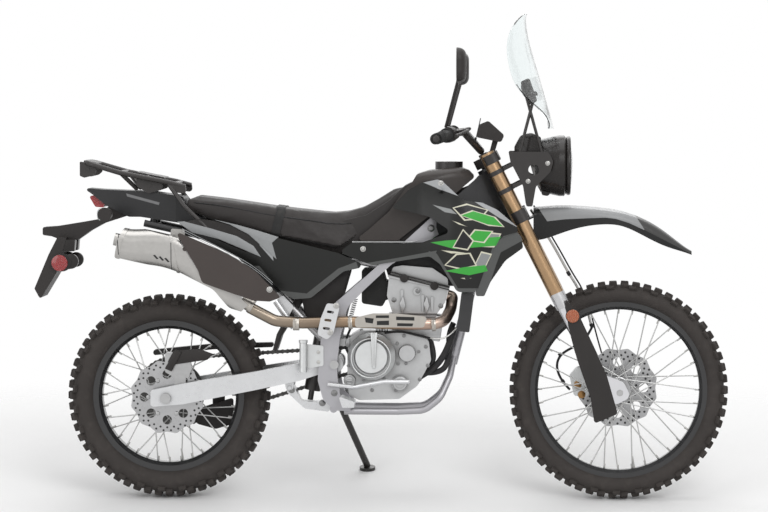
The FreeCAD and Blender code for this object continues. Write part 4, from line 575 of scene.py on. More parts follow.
@dataclass(frozen=True)
class HeatTinted(Finish):
    """Steel that heat has browned, strongest near the engine."""

    def dress(self, graph: Graph) -> None:
        """Adds bands of straw, bronze and violet along the pipe.

        Args:
            graph: the nodes of the finish's material.
        """
        along = graph.add("SeparateXYZ", Vector=graph.bike()).outputs["X"]
        waver = graph.sum("ADD", along, graph.sum("MULTIPLY", graph.noise(16.0, 3.0), 0.05))
        ramp = graph.add("ValToRGB", Fac=graph.span(waver, 0.30, 0.96))
        stops = ramp.color_ramp.elements
        stops[0].color, stops[1].color = (0.30, 0.255, 0.205, 1.0), (0.50, 0.42, 0.36, 1.0)
        for position, colour in ((0.35, (0.22, 0.165, 0.12, 1.0)), (0.62, (0.36, 0.25, 0.16, 1.0)),
                                 (0.8, (0.43, 0.30, 0.24, 1.0))):
            stops.new(position).color = colour
        graph.feed("Base Color", ramp.outputs["Color"])
        graph.feed("Metallic", 1.0)
        graph.feed("Normal", graph.bump(graph.noise(800.0, 2.0), 0.00005, 0.4))


@dataclass(frozen=True)
class TwoTone(Moulded):
    """Plastic with a second colour inside outlines of the side view."""

    second: tuple[float, float, float] = (0.5, 0.5, 0.5)
    corners: tuple[Outline, ...] = ()
    cuts: tuple[Outline, ...] = ()

    def dress(self, graph: Graph) -> None:
        """Adds the second colour and the dark cuts to the grained plastic.

        Args:
            graph: the nodes of the finish's material.
        """
        super().dress(graph)
        graph.recolour(self.second, self.corners)
        if self.cuts:
            graph.recolour(CUT_BLACK, self.cuts)


@dataclass(frozen=True)
class PartPainted(Painted):
    """Paint with a second colour inside outlines of the side view."""

    second: tuple[float, float, float] = (0.03, 0.03, 0.03)
    corners: tuple[Outline, ...] = ()
    shine: float = 0.3

    def dress(self, graph: Graph) -> None:
        """Adds the second colour and how metallic it is.

        Args:
            graph: the nodes of the finish's material.
        """
        super().dress(graph)
        mask = graph.recolour(self.second, self.corners)
        graph.feed("Metallic", graph.span(mask, 0.0, 1.0, self.metallic, self.shine))


@dataclass(frozen=True)
class Slotted(Metal):
    """Bare metal with dark slots and seams in the side view."""

    slots: tuple[Outline, ...] = ()

    def dress(self, graph: Graph) -> None:
        """Adds the brush marks and the slots.

        Args:
            graph: the nodes of the finish's material.
        """
        super().dress(graph)
        mask = graph.recolour(SLOT_BLACK, self.slots)
        graph.feed("Metallic", graph.span(mask, 0.0, 1.0, 1.0, 0.2))


@dataclass(frozen=True)
class Spoked(Painted):
    """A painted rim with bare steel spokes inside it."""

    centre: Vector = field(default=REAR_HUB, hash=False, compare=False)
    bore: float = 215.0

    def dress(self, graph: Graph) -> None:
        """Bares the steel inside the rim.

        Args:
            graph: the nodes of the finish's material.
        """
        super().dress(graph)
        bare = graph.span(graph.radius(self.centre), self.bore * MM, (self.bore - 2.0) * MM)
        steel = graph.mix(graph.noise(300.0), (0.40, 0.40, 0.40, 1.0), (0.52, 0.52, 0.51, 1.0))
        graph.feed("Base Color", graph.mix(bare, graph.base, steel))
        graph.feed("Metallic", graph.span(bare, 0.0, 1.0, self.metallic, 1.0))


@dataclass(frozen=True)
class Drilled(Metal):
    """Bare steel of a brake disc with rings of small holes about a wheel's axis."""

    centre: Vector = field(default=FRONT_HUB, hash=False, compare=False)
    rings: tuple[tuple[float, int, float], ...] = ()
    hole: float = 3.4

    def dress(self, graph: Graph) -> None:
        """Adds the holes of each ring, given by radius, count and start.

        Args:
            graph: the nodes of the finish's material.
        """
        super().dress(graph)
        place = graph.add("SeparateXYZ", Vector=graph.bike(centre=self.centre))
        angle = graph.sum("ARCTAN2", place.outputs["Z"], place.outputs["X"])
        radius, dots = graph.radius(self.centre), []
        for size, count, start in self.rings:
            turns = graph.sum("ADD", graph.sum("MULTIPLY", angle, count / math.tau), start + count)
            step = graph.sum("SUBTRACT", graph.sum("FRACT", turns, 0.0), 0.5)
            along = graph.sum("MULTIPLY", step, math.tau * size * MM / count)
            across = graph.sum("SUBTRACT", radius, size * MM)
            far = graph.sum("ADD", graph.sum("MULTIPLY", along, along), graph.sum("MULTIPLY", across, across))
            dots.append(graph.span(far, (self.hole * 1.15 * MM) ** 2, (self.hole * 0.85 * MM) ** 2))
        mask = graph.gathered("MAXIMUM", dots)
        graph.feed("Base Color", graph.mix(mask, graph.base, tint(SLOT_BLACK, 1.0)))
        graph.feed("Metallic", graph.span(mask, 0.0, 1.0, 1.0, 0.1))


@dataclass(frozen=True)
class Finned(Painted):
    """Painted metal with fine upright fins between rows of flat tubes."""

    def dress(self, graph: Graph) -> None:
        """Adds the fins and the tubes.

        Args:
            graph: the nodes of the finish's material.
        """
        super().dress(graph)
        fins, tubes = graph.wave(170.0, "Z"), graph.wave(26.0, "Y")
        graph.feed("Normal", graph.bump(fins, 0.0008, 0.7, graph.bump(tubes, 0.0012, 0.8)))


@dataclass(frozen=True)
class Shard:
    """One flat patch of a panel's graphic."""

    colour: tuple[float, float, float]
    corners: Outline


def framed(colour: tuple[float, float, float], *corners: tuple[float, float]) -> tuple[Shard, Shard]:
    """A shard with a thin pale edge, which is a larger pale shard under it.

    Args:
        colour: the shard's colour.
        corners: its corners, anticlockwise as the side view shows them.

    Returns:
        The pale shard and the shard.
    """
    across = sum(corner[0] for corner in corners) / len(corners)
    down = sum(corner[1] for corner in corners) / len(corners)
    wider = []
    for px, py in corners:
        reach = math.hypot(px - across, py - down)
        grow = 1.0 + FRAME_REACH / reach
        wider.append((across + (px - across) * grow, down + (py - down) * grow))
    return Shard(CREAM, tuple(wider)), Shard(colour, corners)


@dataclass(frozen=True)
class Graphic(Moulded):
    """A plastic panel with a graphic of plain shards."""

    shards: tuple[Shard, ...] = ()

    def dress(self, graph: Graph) -> None:
        """Lays the shards over the grained plastic, glossier than it.

        Args:
            graph: the nodes of the finish's material.
        """
        super().dress(graph)
        where = graph.bike()
        colour, patches = graph.base, []
        speckle = graph.noise(240.0, 2.0)
        for shard in self.shards:
            patches.append(graph.patch(where, shard.corners))
            mottled = graph.mix(speckle, tint(shard.colour, 0.92), tint(shard.colour, 1.06))
            colour = graph.mix(patches[-1], colour, mottled)
        cover = graph.gathered("MAXIMUM", patches)
        graph.feed("Base Color", colour)
        graph.feed("Roughness", graph.span(cover, 0.0, 1.0, self.rough, self.rough * 0.8))


BLACK_PLASTIC = Moulded("black_plastic", (0.022, 0.019, 0.018), 0.5, 0.18)
GLOSS_BLACK = Moulded("gloss_black", (0.017, 0.0145, 0.0135), 0.26, 0.15, depth=0.00004)
TANK_PLASTIC = Moulded("tank_plastic", (0.047, 0.040, 0.037), 0.34, 0.12, depth=0.00006)
HEAT_PANEL = Moulded("heat_panel_plastic", (0.058, 0.047, 0.043), 0.46, 0.08)
SEAT_VINYL = Vinyl("seat_vinyl", (0.023, 0.0195, 0.0185), 0.55, 0.16)
TYRE_RUBBER = Rubber("tyre_rubber", (0.045, 0.039, 0.036), 0.75, 0.2)
GRIP_RUBBER = Rubber("grip_rubber", (0.02, 0.02, 0.02), 0.66, 0.2)
HOSE_RUBBER = Rubber("hose_rubber", COOL_BLACK, 0.5, 0.15)
FRONT_RIM = Spoked("front_rim_paint", COOL_BLACK, 0.32, 0.12, metallic=0.3, coat=0.5, centre=FRONT_HUB,
                   bore=256.0)
REAR_RIM = Spoked("rear_rim_paint", COOL_BLACK, 0.32, 0.12, metallic=0.3, coat=0.5, centre=REAR_HUB,
                  bore=214.0)
BLACK_STEEL = Painted("black_steel", (0.021, 0.018, 0.017), 0.42, 0.15, metallic=0.15, coat=0.15)
SILVER_FRAME = PartPainted("silver_frame", (0.40, 0.395, 0.415), 0.42, 0.05, metallic=0.75, coat=0.3,
                           second=(0.025, 0.025, 0.027),
                           corners=(((439, 140), (437, 226), (441, 238), (516, 238), (516, 140)),))
TAIL_FRAME = PartPainted("tail_frame", (0.42, 0.415, 0.42), 0.4, 0.06, metallic=0.85, coat=0.2,
                         second=(0.025, 0.025, 0.026),
                         corners=(((60, 120), (60, 300), (268, 300), (292, 288), (400, 262), (400, 120)),))
GOLD_TUBE = PartPainted("gold_tube", (0.375, 0.245, 0.138), 0.31, 0.06, metallic=0.95, coat=0.15,
                        second=(0.52, 0.52, 0.53), shine=1.0,
                        corners=(((551, 293), (530, 360), (600, 360), (567, 286)),))
CHROME = Metal("chrome", (0.66, 0.66, 0.68), 0.1, 0.03)
STEEL = Metal("steel", (0.42, 0.42, 0.42), 0.34, 0.1)
BOLT_STEEL = Metal("bolt_steel", (0.22, 0.22, 0.22), 0.3, 0.1)
ZINC = Metal("zinc", (0.46, 0.455, 0.44), 0.36, 0.12)
DARK_STEEL = Metal("dark_steel", (0.11, 0.108, 0.105), 0.42, 0.15)
FRONT_DISC = Drilled("front_disc_steel", (0.40, 0.40, 0.405), 0.3, 0.08, centre=FRONT_HUB, hole=3.6,
                     rings=((116.0, 30, 0.0), (105.0, 30, 0.5), (94.0, 30, 0.0), (60.0, 12, 0.25)))
REAR_DISC = Drilled("rear_disc_steel", (0.42, 0.42, 0.425), 0.3, 0.08, centre=REAR_HUB, hole=3.3,
                    rings=((107.0, 28, 0.0), (97.0, 28, 0.5)))
BRONZE = Metal("bronze", (0.30, 0.17, 0.07), 0.3, 0.1)
ALLOY = Cast("cast_alloy", (0.48, 0.483, 0.486), 0.36, 0.08)
PALE_PLASTIC = Moulded("pale_plastic", (0.33, 0.34, 0.345), 0.3, 0.05)
BRIGHT_ALLOY = Cast("bright_alloy", (0.62, 0.63, 0.63), 0.36, 0.05, grain=1100.0)
ARM_ALLOY = Cast("arm_alloy", (0.64, 0.645, 0.655), 0.3, 0.05, grain=1500.0)
CAN_STEEL = Slotted("can_steel", (0.42, 0.41, 0.395), 0.34, 0.07, brush=1400.0,
                    lines=Vector((0.06, 1.0, 1.0)), depth=0.00009, slots=(
    ((159, 252.5), (162.5, 256.5), (164.5, 256), (161, 252)),
    ((164.5, 254), (168, 258), (170, 257.5), (166.5, 253.5)),
    ((170, 255.5), (173.5, 259.5), (175.5, 259), (172, 255)),
    ((122.6, 225.5), (124.5, 252), (125.3, 252), (123.6, 225.5)),
    ((176.4, 240), (176.4, 275), (177.2, 275), (177.2, 240))))
SHIELD_STEEL = Slotted("shield_steel", (0.44, 0.415, 0.38), 0.34, 0.07, slots=(
    ((367, 314), (368, 319), (375, 320), (376, 315)), ((378, 312), (378, 314.5), (391, 314.5), (391, 311.8)),
    ((379, 317.5), (379, 321.5), (391, 321.5), (391, 317)),
    ((398, 313), (398, 316.5), (416, 317), (416, 313.5)),
    ((399, 319.5), (399, 322.5), (414, 322.7), (415, 319.8))))
HEADER = HeatTinted("header_steel", (0.4, 0.3, 0.2), 0.34, 0.1)
SCREEN = Clear("clear_screen", (0.93, 0.96, 0.96), 0.03, 0.02)
GLASS = Clear("lamp_glass", (0.95, 0.97, 0.98), 0.02, 0.02)
DISPLAY = Moulded("display_glass", (0.05, 0.055, 0.055), 0.08, 0.1, depth=0.00001)
RED_LENS = Lens("red_lens", (0.42, 0.006, 0.010), 0.12, 0.1)
ORANGE_LENS = Lens("orange_lens", (0.55, 0.115, 0.02), 0.14, 0.08)
CLEAR_LENS = Lens("clear_lens", (0.55, 0.56, 0.58), 0.12, 0.06)
MIRROR = Metal("mirror_glass", (0.72, 0.73, 0.75), 0.02, 0.01)
CORE = Finned("radiator_core", (0.035, 0.035, 0.036), 0.45, 0.12, metallic=0.4, coat=0.1)
FENDER = TwoTone("fender_plastic", (0.30, 0.305, 0.31), 0.34, 0.05, second=(0.055, 0.054, 0.053), corners=(
    ((634, 214), (684, 291), (720, 291), (720, 214)),), cuts=(
    ((528, 207), (528, 300), (552, 300), (547, 220.4), (538.6, 207.8)),
    ((546, 220.4), (546, 300), (588, 300), (587.4, 217), (564.4, 218.1)),
    ((587, 217), (587, 300), (616, 300), (615, 217.6), (604.6, 216.4)),
    ((614.5, 217.5), (614.5, 300), (646, 300), (643.5, 228.9), (627.6, 221.6)),
    ((643, 228.5), (643, 300), (700, 300), (700, 258))))
TAIL = TwoTone("tail_plastic", (0.016, 0.016, 0.017), 0.34, 0.15, second=(0.20, 0.20, 0.205), corners=(
    ((127, 193), (128, 196), (160, 204.5), (161, 202)),))
EDGE_BANDS = (((280, 288.5), (280, 302), (310, 303), (309, 291.5)),
              ((308.5, 291.7), (309, 306), (346, 278), (341, 266)),
              ((340.5, 266.4), (344, 279), (362, 272), (358, 259.8)),
              ((366, 261.5), (374, 272), (402, 264), (401, 255.3)),
              ((400, 255.5), (400, 264), (434, 258), (438, 248)))
SIDE_COVERS = Graphic("side_plastic", SIDE_BLACK, 0.3, 0.15, shards=(
    *[Shard(MID_GREY, band) for band in EDGE_BANDS],
    Shard(MID_GREY, ((256, 264), (282, 299), (290, 299), (262, 264))),
    Shard(PALE_GREY, ((262, 243), (276, 259), (274, 239)))))
SHROUD_BANDS = (((430, 248.5), (430, 258), (452, 292), (459.3, 285.7), (438, 251)),
                ((453, 285), (456, 297), (484, 297), (481, 285)),
                ((479, 284.5), (485, 296), (496, 263), (488.7, 256.5)),
                ((488.7, 257.5), (495, 265), (501.5, 248), (493, 243.8)),
                ((492.6, 244.2), (500, 250), (530, 234), (525, 227.6), (503.4, 233.6)))
SHROUD = Graphic("shroud_plastic", SIDE_BLACK, 0.32, 0.15, shards=(
    *[Shard(MID_GREY, band) for band in EDGE_BANDS + SHROUD_BANDS],
    Shard(PALE_GREY, ((410, 176), (423, 181.5), (440, 187.5), (460, 195.5), (470, 199.5), (470, 150),
                      (410, 150))),
    Shard(PALE_GREY, ((472, 201.5), (500, 216), (526, 233), (536, 226), (492, 190))),
    Shard(STONE, ((434, 203), (446, 210), (458, 212), (452, 207))),
    *framed(SOOT, (455, 206), (466, 217), (480, 216), (487, 208), (468, 203)),
    *framed(GREEN, (462, 213), (488, 222), (503, 224), (494, 215), (474, 209)),
    Shard(CREAM, ((446, 214), (460, 222), (478, 226.5), (460, 220.5))),
    *framed(STONE, (484, 243), (494, 243), (500, 232), (490, 231)),
    Shard(GREEN, ((432, 240), (455, 246), (496, 243), (501, 234), (470, 236), (446, 238))),
    *framed(GREEN, (468, 237), (484, 239), (492, 229), (476, 228)),
    *framed(SOOT, (455, 244), (468, 246), (473, 238), (464, 228)),
    Shard(CREAM, ((438, 246), (452, 250.5), (476, 250), (456, 248.5))),
    *framed(STONE, (476, 262), (484, 266), (491, 252), (482, 250)),
    *framed(SOOT, (447, 262), (462, 265), (476, 262), (470, 251), (458, 252)),
    Shard(GREEN, ((446, 268), (470, 272), (488, 268), (486, 262), (465, 264))),
    Shard(CREAM, ((458, 274), (466, 276), (482, 273), (466, 274.5)))))


# Ways of making


def nothing_selected() -> None:
    """Leaves edit mode and deselects everything."""
    if bpy.context.object and bpy.context.object.mode != "OBJECT":
        bpy.ops.object.mode_set(mode="OBJECT")
    bpy.ops.object.select_all(action="DESELECT")


def chosen(item: bpy.types.Object, edit: bool = False) -> None:
    """Makes one object the active and only selected one.

    Args:
        item: the object.
        edit: whether it goes into edit mode with all of it selected.
    """
    nothing_selected()
    item.select_set(True)
    bpy.context.view_layer.objects.active = item
    if edit:
        bpy.ops.object.mode_set(mode="EDIT")
        bpy.ops.mesh.select_all(action="SELECT")


def named(name: str) -> bpy.types.Object:
    """The object just made, under its name, with its place put in its mesh.

    Args:
        name: its name.

    Returns:
        The object.
    """
    item = bpy.context.object
    item.name = item.data.name = name
    settle(item)
    return item


def settle(item: bpy.types.Object) -> None:
    """Puts an object's place into its mesh."""
    chosen(item)
    bpy.ops.object.transform_apply(location=True, rotation=True, scale=True)


def apply(item: bpy.types.Object, kind: str, **values: object) -> None:
    """Adds a modifier with its values and applies it.

    Args:
        item: the object.
        kind: the modifier's type.
        values: the modifier's settings.
    """
    chosen(item)
    modifier = item.modifiers.new(kind.title(), kind)
    for key, value in values.items():
        setattr(modifier, key, value)
    bpy.ops.object.modifier_apply(modifier=modifier.name)


def rounded(item: bpy.types.Object, width: float, segments: int = 2) -> None:
    """Rounds an object's sharp edges by a width in millimetres."""
    apply(item, "BEVEL", width=width * MM, segments=segments, limit_method="ANGLE", angle_limit=SHARP_ANGLE,
          use_clamp_overlap=True)


def sunk(item: bpy.types.Object, way: Vector, steps: Sequence[tuple[float, float]]) -> None:
    """Insets the faces that look one way and pushes them in, step by step.

    Args:
        item: the object.
        way: the direction that the faces look in.
        steps: for each step, how far it insets the faces and how far it pushes them in, in metres.
    """
    chosen(item, edit=True)
    bpy.ops.mesh.select_all(action="DESELECT")
    bpy.ops.object.mode_set(mode="OBJECT")
    for face in item.data.polygons:
        face.select = face.normal.dot(way) > 0.99
    bpy.ops.object.mode_set(mode="EDIT")
    for inset, depth in steps:
        bpy.ops.mesh.inset(thickness=inset)
        bpy.ops.mesh.extrude_region_move(TRANSFORM_OT_translate={"value": tuple(way * -depth)})
    bpy.ops.object.mode_set(mode="OBJECT")


def rod(name: str, low: Vector, high: Vector, radius: float, top: Optional[float] = None, sides: int = 32,
        edge: float = 0.0) -> bpy.types.Object:
    """A round bar or cone between two points.

    Args:
        name: the object's name.
        low: the middle of its first end, in metres.
        high: the middle of its second end.
        radius: the first end's radius, in millimetres.
        top: the second end's radius, or none for the same.
        sides: how many sides it has.
        edge: how far its rims are rounded, in millimetres.

    Returns:
        The bar.
    """
    nothing_selected()
    turn = toward(high - low).to_euler()
    bpy.ops.mesh.primitive_cone_add(vertices=sides, radius1=radius * MM,
                                    radius2=(radius if top is None else top) * MM, depth=(high - low).length,
                                    location=(low + high) / 2, rotation=turn)
    item = named(name)
    if edge:
        rounded(item, edge)
    return item


def block(name: str, middle: Vector, sizes: tuple[float, float, float], edge: float = 0.0,
          turn: float = 0.0) -> bpy.types.Object:
    """A block with rounded edges.

    Args:
        name: the object's name.
        middle: its centre, in metres.
        sizes: its length, width and height, in millimetres.
        edge: how far its edges are rounded, in millimetres.
        turn: its turn about the side axis, in degrees, nose down.

    Returns:
        The block.
    """
    nothing_selected()
    bpy.ops.mesh.primitive_cube_add(size=1.0, location=middle, rotation=(0.0, math.radians(turn), 0.0))
    item = bpy.context.object
    item.scale = [size * MM for size in sizes]
    item = named(name)
    if edge:
        rounded(item, edge)
    return item


def ball(name: str, middle: Vector, sizes: tuple[float, float, float],
         turn: Optional[Vector] = None) -> bpy.types.Object:
    """A rounded body of three half sizes in millimetres, its up axis along a direction.

    Args:
        name: the object's name.
        middle: its centre, in metres.
        sizes: its three half sizes, in millimetres.
        turn: the way its up axis points, or none for upwards.

    Returns:
        The body.
    """
    nothing_selected()
    bpy.ops.mesh.primitive_uv_sphere_add(segments=40, ring_count=24, radius=1.0, location=middle,
                                         rotation=toward(turn).to_euler() if turn else (0.0, 0.0, 0.0))
    bpy.context.object.scale = [size * MM for size in sizes]
    return named(name)


def doughnut(name: str, middle: Vector, axis: Vector, radius: float, thick: float, wide: float = 0.0,
             sides: int = 48) -> bpy.types.Object:
    """A ring of round section, or of flattened section where its width along the axis is given.

    Args:
        name: the object's name.
        middle: its centre, in metres.
        axis: the way it faces.
        radius: the radius of its middle line, in millimetres.
        thick: its section's half height, in millimetres.
        wide: its section's half width along the axis, in millimetres, or 0 for a round one.
        sides: how many sides it has.

    Returns:
        The ring.
    """
    nothing_selected()
    bpy.ops.mesh.primitive_torus_add(location=middle, rotation=toward(axis).to_euler(), major_segments=sides,
                                     minor_segments=16, major_radius=radius * MM, minor_radius=thick * MM)
    item = bpy.context.object
    item.scale.z = wide / thick if wide else 1.0
    return named(name)


def prism(name: str, outline: Sequence[tuple[float, float]], low: float, high: float,
          edge: float = 0.0) -> bpy.types.Object:
    """A plate with an outline of the side view, between two side offsets.

    Args:
        name: the object's name.
        outline: its corners, as photograph pixels.
        low: its first side offset, in millimetres.
        high: its second.
        edge: how far its edges are rounded, in millimetres.

    Returns:
        The plate.
    """
    nothing_selected()
    bpy.ops.mesh.primitive_circle_add(vertices=len(outline), radius=1.0, fill_type="NGON")
    item = bpy.context.object
    for vertex, corner in zip(item.data.vertices, outline):
        vertex.co = shown(*corner, low)
    chosen(item, edit=True)
    bpy.ops.mesh.extrude_region_move(TRANSFORM_OT_translate={"value": (0.0, (high - low) * MM, 0.0)})
    bpy.ops.mesh.select_all(action="SELECT")
    bpy.ops.mesh.normals_make_consistent(inside=False)
    bpy.ops.object.mode_set(mode="OBJECT")
    item = named(name)
    if edge:
        rounded(item, edge)
    return item


def hose(name: str, points: Sequence[Vector], radius: float) -> bpy.types.Object:
    """A round tube along a smooth line.

    Args:
        name: the object's name.
        points: what the line is drawn to, in metres.
        radius: the tube's radius, in millimetres.

    Returns:
        The tube.
    """
    curve = bpy.data.curves.new(name, "CURVE")
    curve.dimensions = "3D"
    curve.bevel_depth = radius * MM
    curve.bevel_resolution = 3
    curve.resolution_u = 10
    curve.use_fill_caps = True
    line = curve.splines.new("NURBS")
    line.points.add(len(points) - 1)
    for knot, point in zip(line.points, points):
        knot.co = (*point, 1.0)
    line.order_u = 3
    line.use_endpoint_u = True
    item = bpy.data.objects.new(name, curve)
    bpy.context.collection.objects.link(item)
    chosen(item)
    bpy.ops.object.convert(target="MESH")
    return bpy.context.object


def merged(name: str, items: Iterable[bpy.types.Object]) -> bpy.types.Object:
    """Several objects as one.

    Args:
        name: its name.
        items: the objects, of which the first one stays.

    Returns:
        The object.
    """
    items = list(items)
    chosen(items[0])
    for item in items:
        item.select_set(True)
    if len(items) > 1:
        bpy.ops.object.join()
    item = bpy.context.object
    item.name = item.data.name = name
    return item


def copied(item: bpy.types.Object, matrix: Matrix) -> bpy.types.Object:
    """A copy with a mesh of its own, moved by a matrix.

    Args:
        item: the object.
        matrix: the move.

    Returns:
        The copy.
    """
    twin = item.copy()
    twin.data = item.data.copy()
    twin.data.transform(matrix)
    if matrix.determinant() < 0:
        twin.data.flip_normals()
    bpy.context.collection.objects.link(twin)
    return twin


def copied_once(item: bpy.types.Object, matrix: Matrix) -> bpy.types.Object:
    """An object moved by a matrix, as a copy that replaces it.

    Args:
        item: the object.
        matrix: the move.

    Returns:
        The copy.
    """
    twin = copied(item, matrix)
    bpy.data.objects.remove(item)
    return twin


def around(name: str, item: bpy.types.Object, count: int, middle: Vector, axis: Vector) -> bpy.types.Object:
    """Copies of an object in a ring about an axis, as one object.

    Args:
        name: its name.
        item: what is copied, and then removed.
        count: how many copies there are.
        middle: a point on the axis, in metres.
        axis: the axis.

    Returns:
        The ring.
    """
    ring = []
    for index in range(count):
        turn = Matrix.Translation(middle) @ Matrix.Rotation(math.tau * index / count, 4,
                                                            axis) @ Matrix.Translation(-middle)
        ring.append(copied(item, turn))
    bpy.data.objects.remove(item)
    return merged(name, ring)


def circle(px: float, py: float, radius: float, start: float, count: int) -> list[tuple[float, float]]:
    """Points evenly round a circle of the side view.

    Args:
        px: the circle's middle, in pixels from the view's left.
        py: the middle in pixels from the view's top.
        radius: its radius, in pixels.
        start: the first point's angle, in degrees.
        count: how many points there are.

    Returns:
        The points.
    """
    angles = [math.radians(start + 360.0 / count * step) for step in range(count)]
    return [(px + radius * math.cos(angle), py + radius * math.sin(angle)) for angle in angles]


def both_sides(name: str, item: bpy.types.Object) -> bpy.types.Object:
    """An object and its mirror image across the motorcycle's middle."""
    return merged(name, [item, copied(item, Matrix.Scale(-1.0, 4, LEFT))])


def done(item: bpy.types.Object, body: str, finish: Finish, place: Place = Place.UPRIGHT,
         instead_of: Sequence[str] = (), smooth: float = 35.0) -> bpy.types.Object:
    """Puts a finished piece in the CAD's frame, with its body and material.

    Args:
        item: the piece, modelled in its own frame.
        body: the CAD body that it rides on.
        finish: its finish.
        place: the frame that it was modelled in.
        instead_of: CAD nodes that it stands for.
        smooth: the angle over which edges stay sharp, in degrees.

    Returns:
        The piece.
    """
    item.data.transform(place.matrix)
    item.data.update()
    item.data.materials.clear()
    item.data.materials.append(finish.material())
    chosen(item)
    bpy.ops.object.shade_smooth_by_angle(angle=math.radians(smooth))
    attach(item, body)
    if instead_of:
        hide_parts(*instead_of)
    LOG.info("%s: %d faces on %s", item.name, len(item.data.polygons), body)
    return item


# Small hardware


class Head(Enum):
    """The kinds of bolt head."""

    HEX = 6
    SOCKET = 24
    BUTTON = 32


@dataclass
class Hardware:
    """Bolts and screws of one body, modelled once and copied to their places."""

    name: str
    body: str
    finish: Finish = ZINC
    heads: list[bpy.types.Object] = field(default_factory=list)

    def head(self, kind: Head, size: float) -> bpy.types.Object:
        """One bolt head that stands up from the origin.

        Args:
            kind: its form.
            size: its radius, in millimetres.

        Returns:
            The head.
        """
        button = kind is Head.BUTTON
        washer = rod("washer", at(0, 0, -1.5), at(0, 0, 1.0), size * 1.35, sides=24, edge=0.3)
        tall = size * (0.45 if button else 0.62)
        cap = rod("cap", at(0, 0, 0.8), at(0, 0, 0.8 + tall), size, size * (0.7 if button else 0.94),
                  sides=kind.value, edge=size * 0.1)
        if kind is not Head.HEX:
            sunk(cap, Vector((0.0, 0.0, 1.0)), ((size * 0.42 * MM, tall * 0.6 * MM),))
        return merged("head", [washer, cap])

    def build(self) -> None:
        """Makes the heads one piece."""
        done(merged(self.name, self.heads), self.body, self.finish)


@dataclass
class Skin:
    """The outside of some CAD nodes, on which small parts are set."""

    names: tuple[str, ...]

    def tree(self) -> BVHTree:
        """The nodes' faces in the CAD's frame.

        Returns:
            The tree in which rays look for them.
        """
        corners: list[Vector] = []
        faces: list[list[int]] = []
        for name in self.names:
            item, first = bpy.data.objects[name], len(corners)
            corners += [item.matrix_world @ vertex.co for vertex in item.data.vertices]
            faces += [[first + index for index in face.vertices] for face in item.data.polygons]
        return BVHTree.FromPolygons(corners, faces)

    def spot(self, origin: Vector, way: Vector) -> tuple[Vector, Vector]:
        """Where a line first meets the nodes.

        Args:
            origin: where the line starts, in the upright frame.
            way: where it goes.

        Returns:
            The point and the way that the surface faces there, in the upright frame.
        """
        turn = PARKED.to_3x3()
        place, facing, _, _ = self.tree().ray_cast(PARKED @ origin, (turn @ way).normalized())
        if place is None:
            raise ValueError(f"nothing of {self.names} from {origin}")
        back = turn.inverted() @ facing
        return PARKED.inverted() @ place, back.normalized() * (-1.0 if back.dot(way) > 0 else 1.0)

    def side(self, px: float, py: float, way: float = -1.0) -> tuple[Vector, Vector]:
        """Where the surface shows in the photograph's view, from the right or, with way 1, from the left."""
        eye = seen(*EYE_FOOT, way * EYE_DISTANCE)
        return self.spot(eye, seen(px, py, 0.0) - eye)

    def studs(self, hardware: Hardware, points: Sequence[tuple[float, float]], size: float,
              kind: Head = Head.HEX, way: float = -1.0) -> None:
        """Sets heads on the surface, each square to it.

        Args:
            hardware: the piece that the heads become part of.
            points: where they show, as pixels of the side view.
            size: their radius, in millimetres.
            kind: their form.
            way: -1 for the right side or 1 for the left.
        """
        model = hardware.head(kind, size)
        for px, py in points:
            try:
                place, facing = self.side(px, py, way)
            except ValueError:
                LOG.warning("%s: nothing at %s, %s", hardware.name, px, py)
                continue
            hardware.heads.append(copied(model, Matrix.Translation(place) @ toward(facing)))
        bpy.data.objects.remove(model)


# Wheels


@dataclass
class KnobRow:
    """One row of knobs across a tyre: where they are and how wide, from the middle out."""

    sides: tuple[float, ...]
    widths: tuple[float, ...]


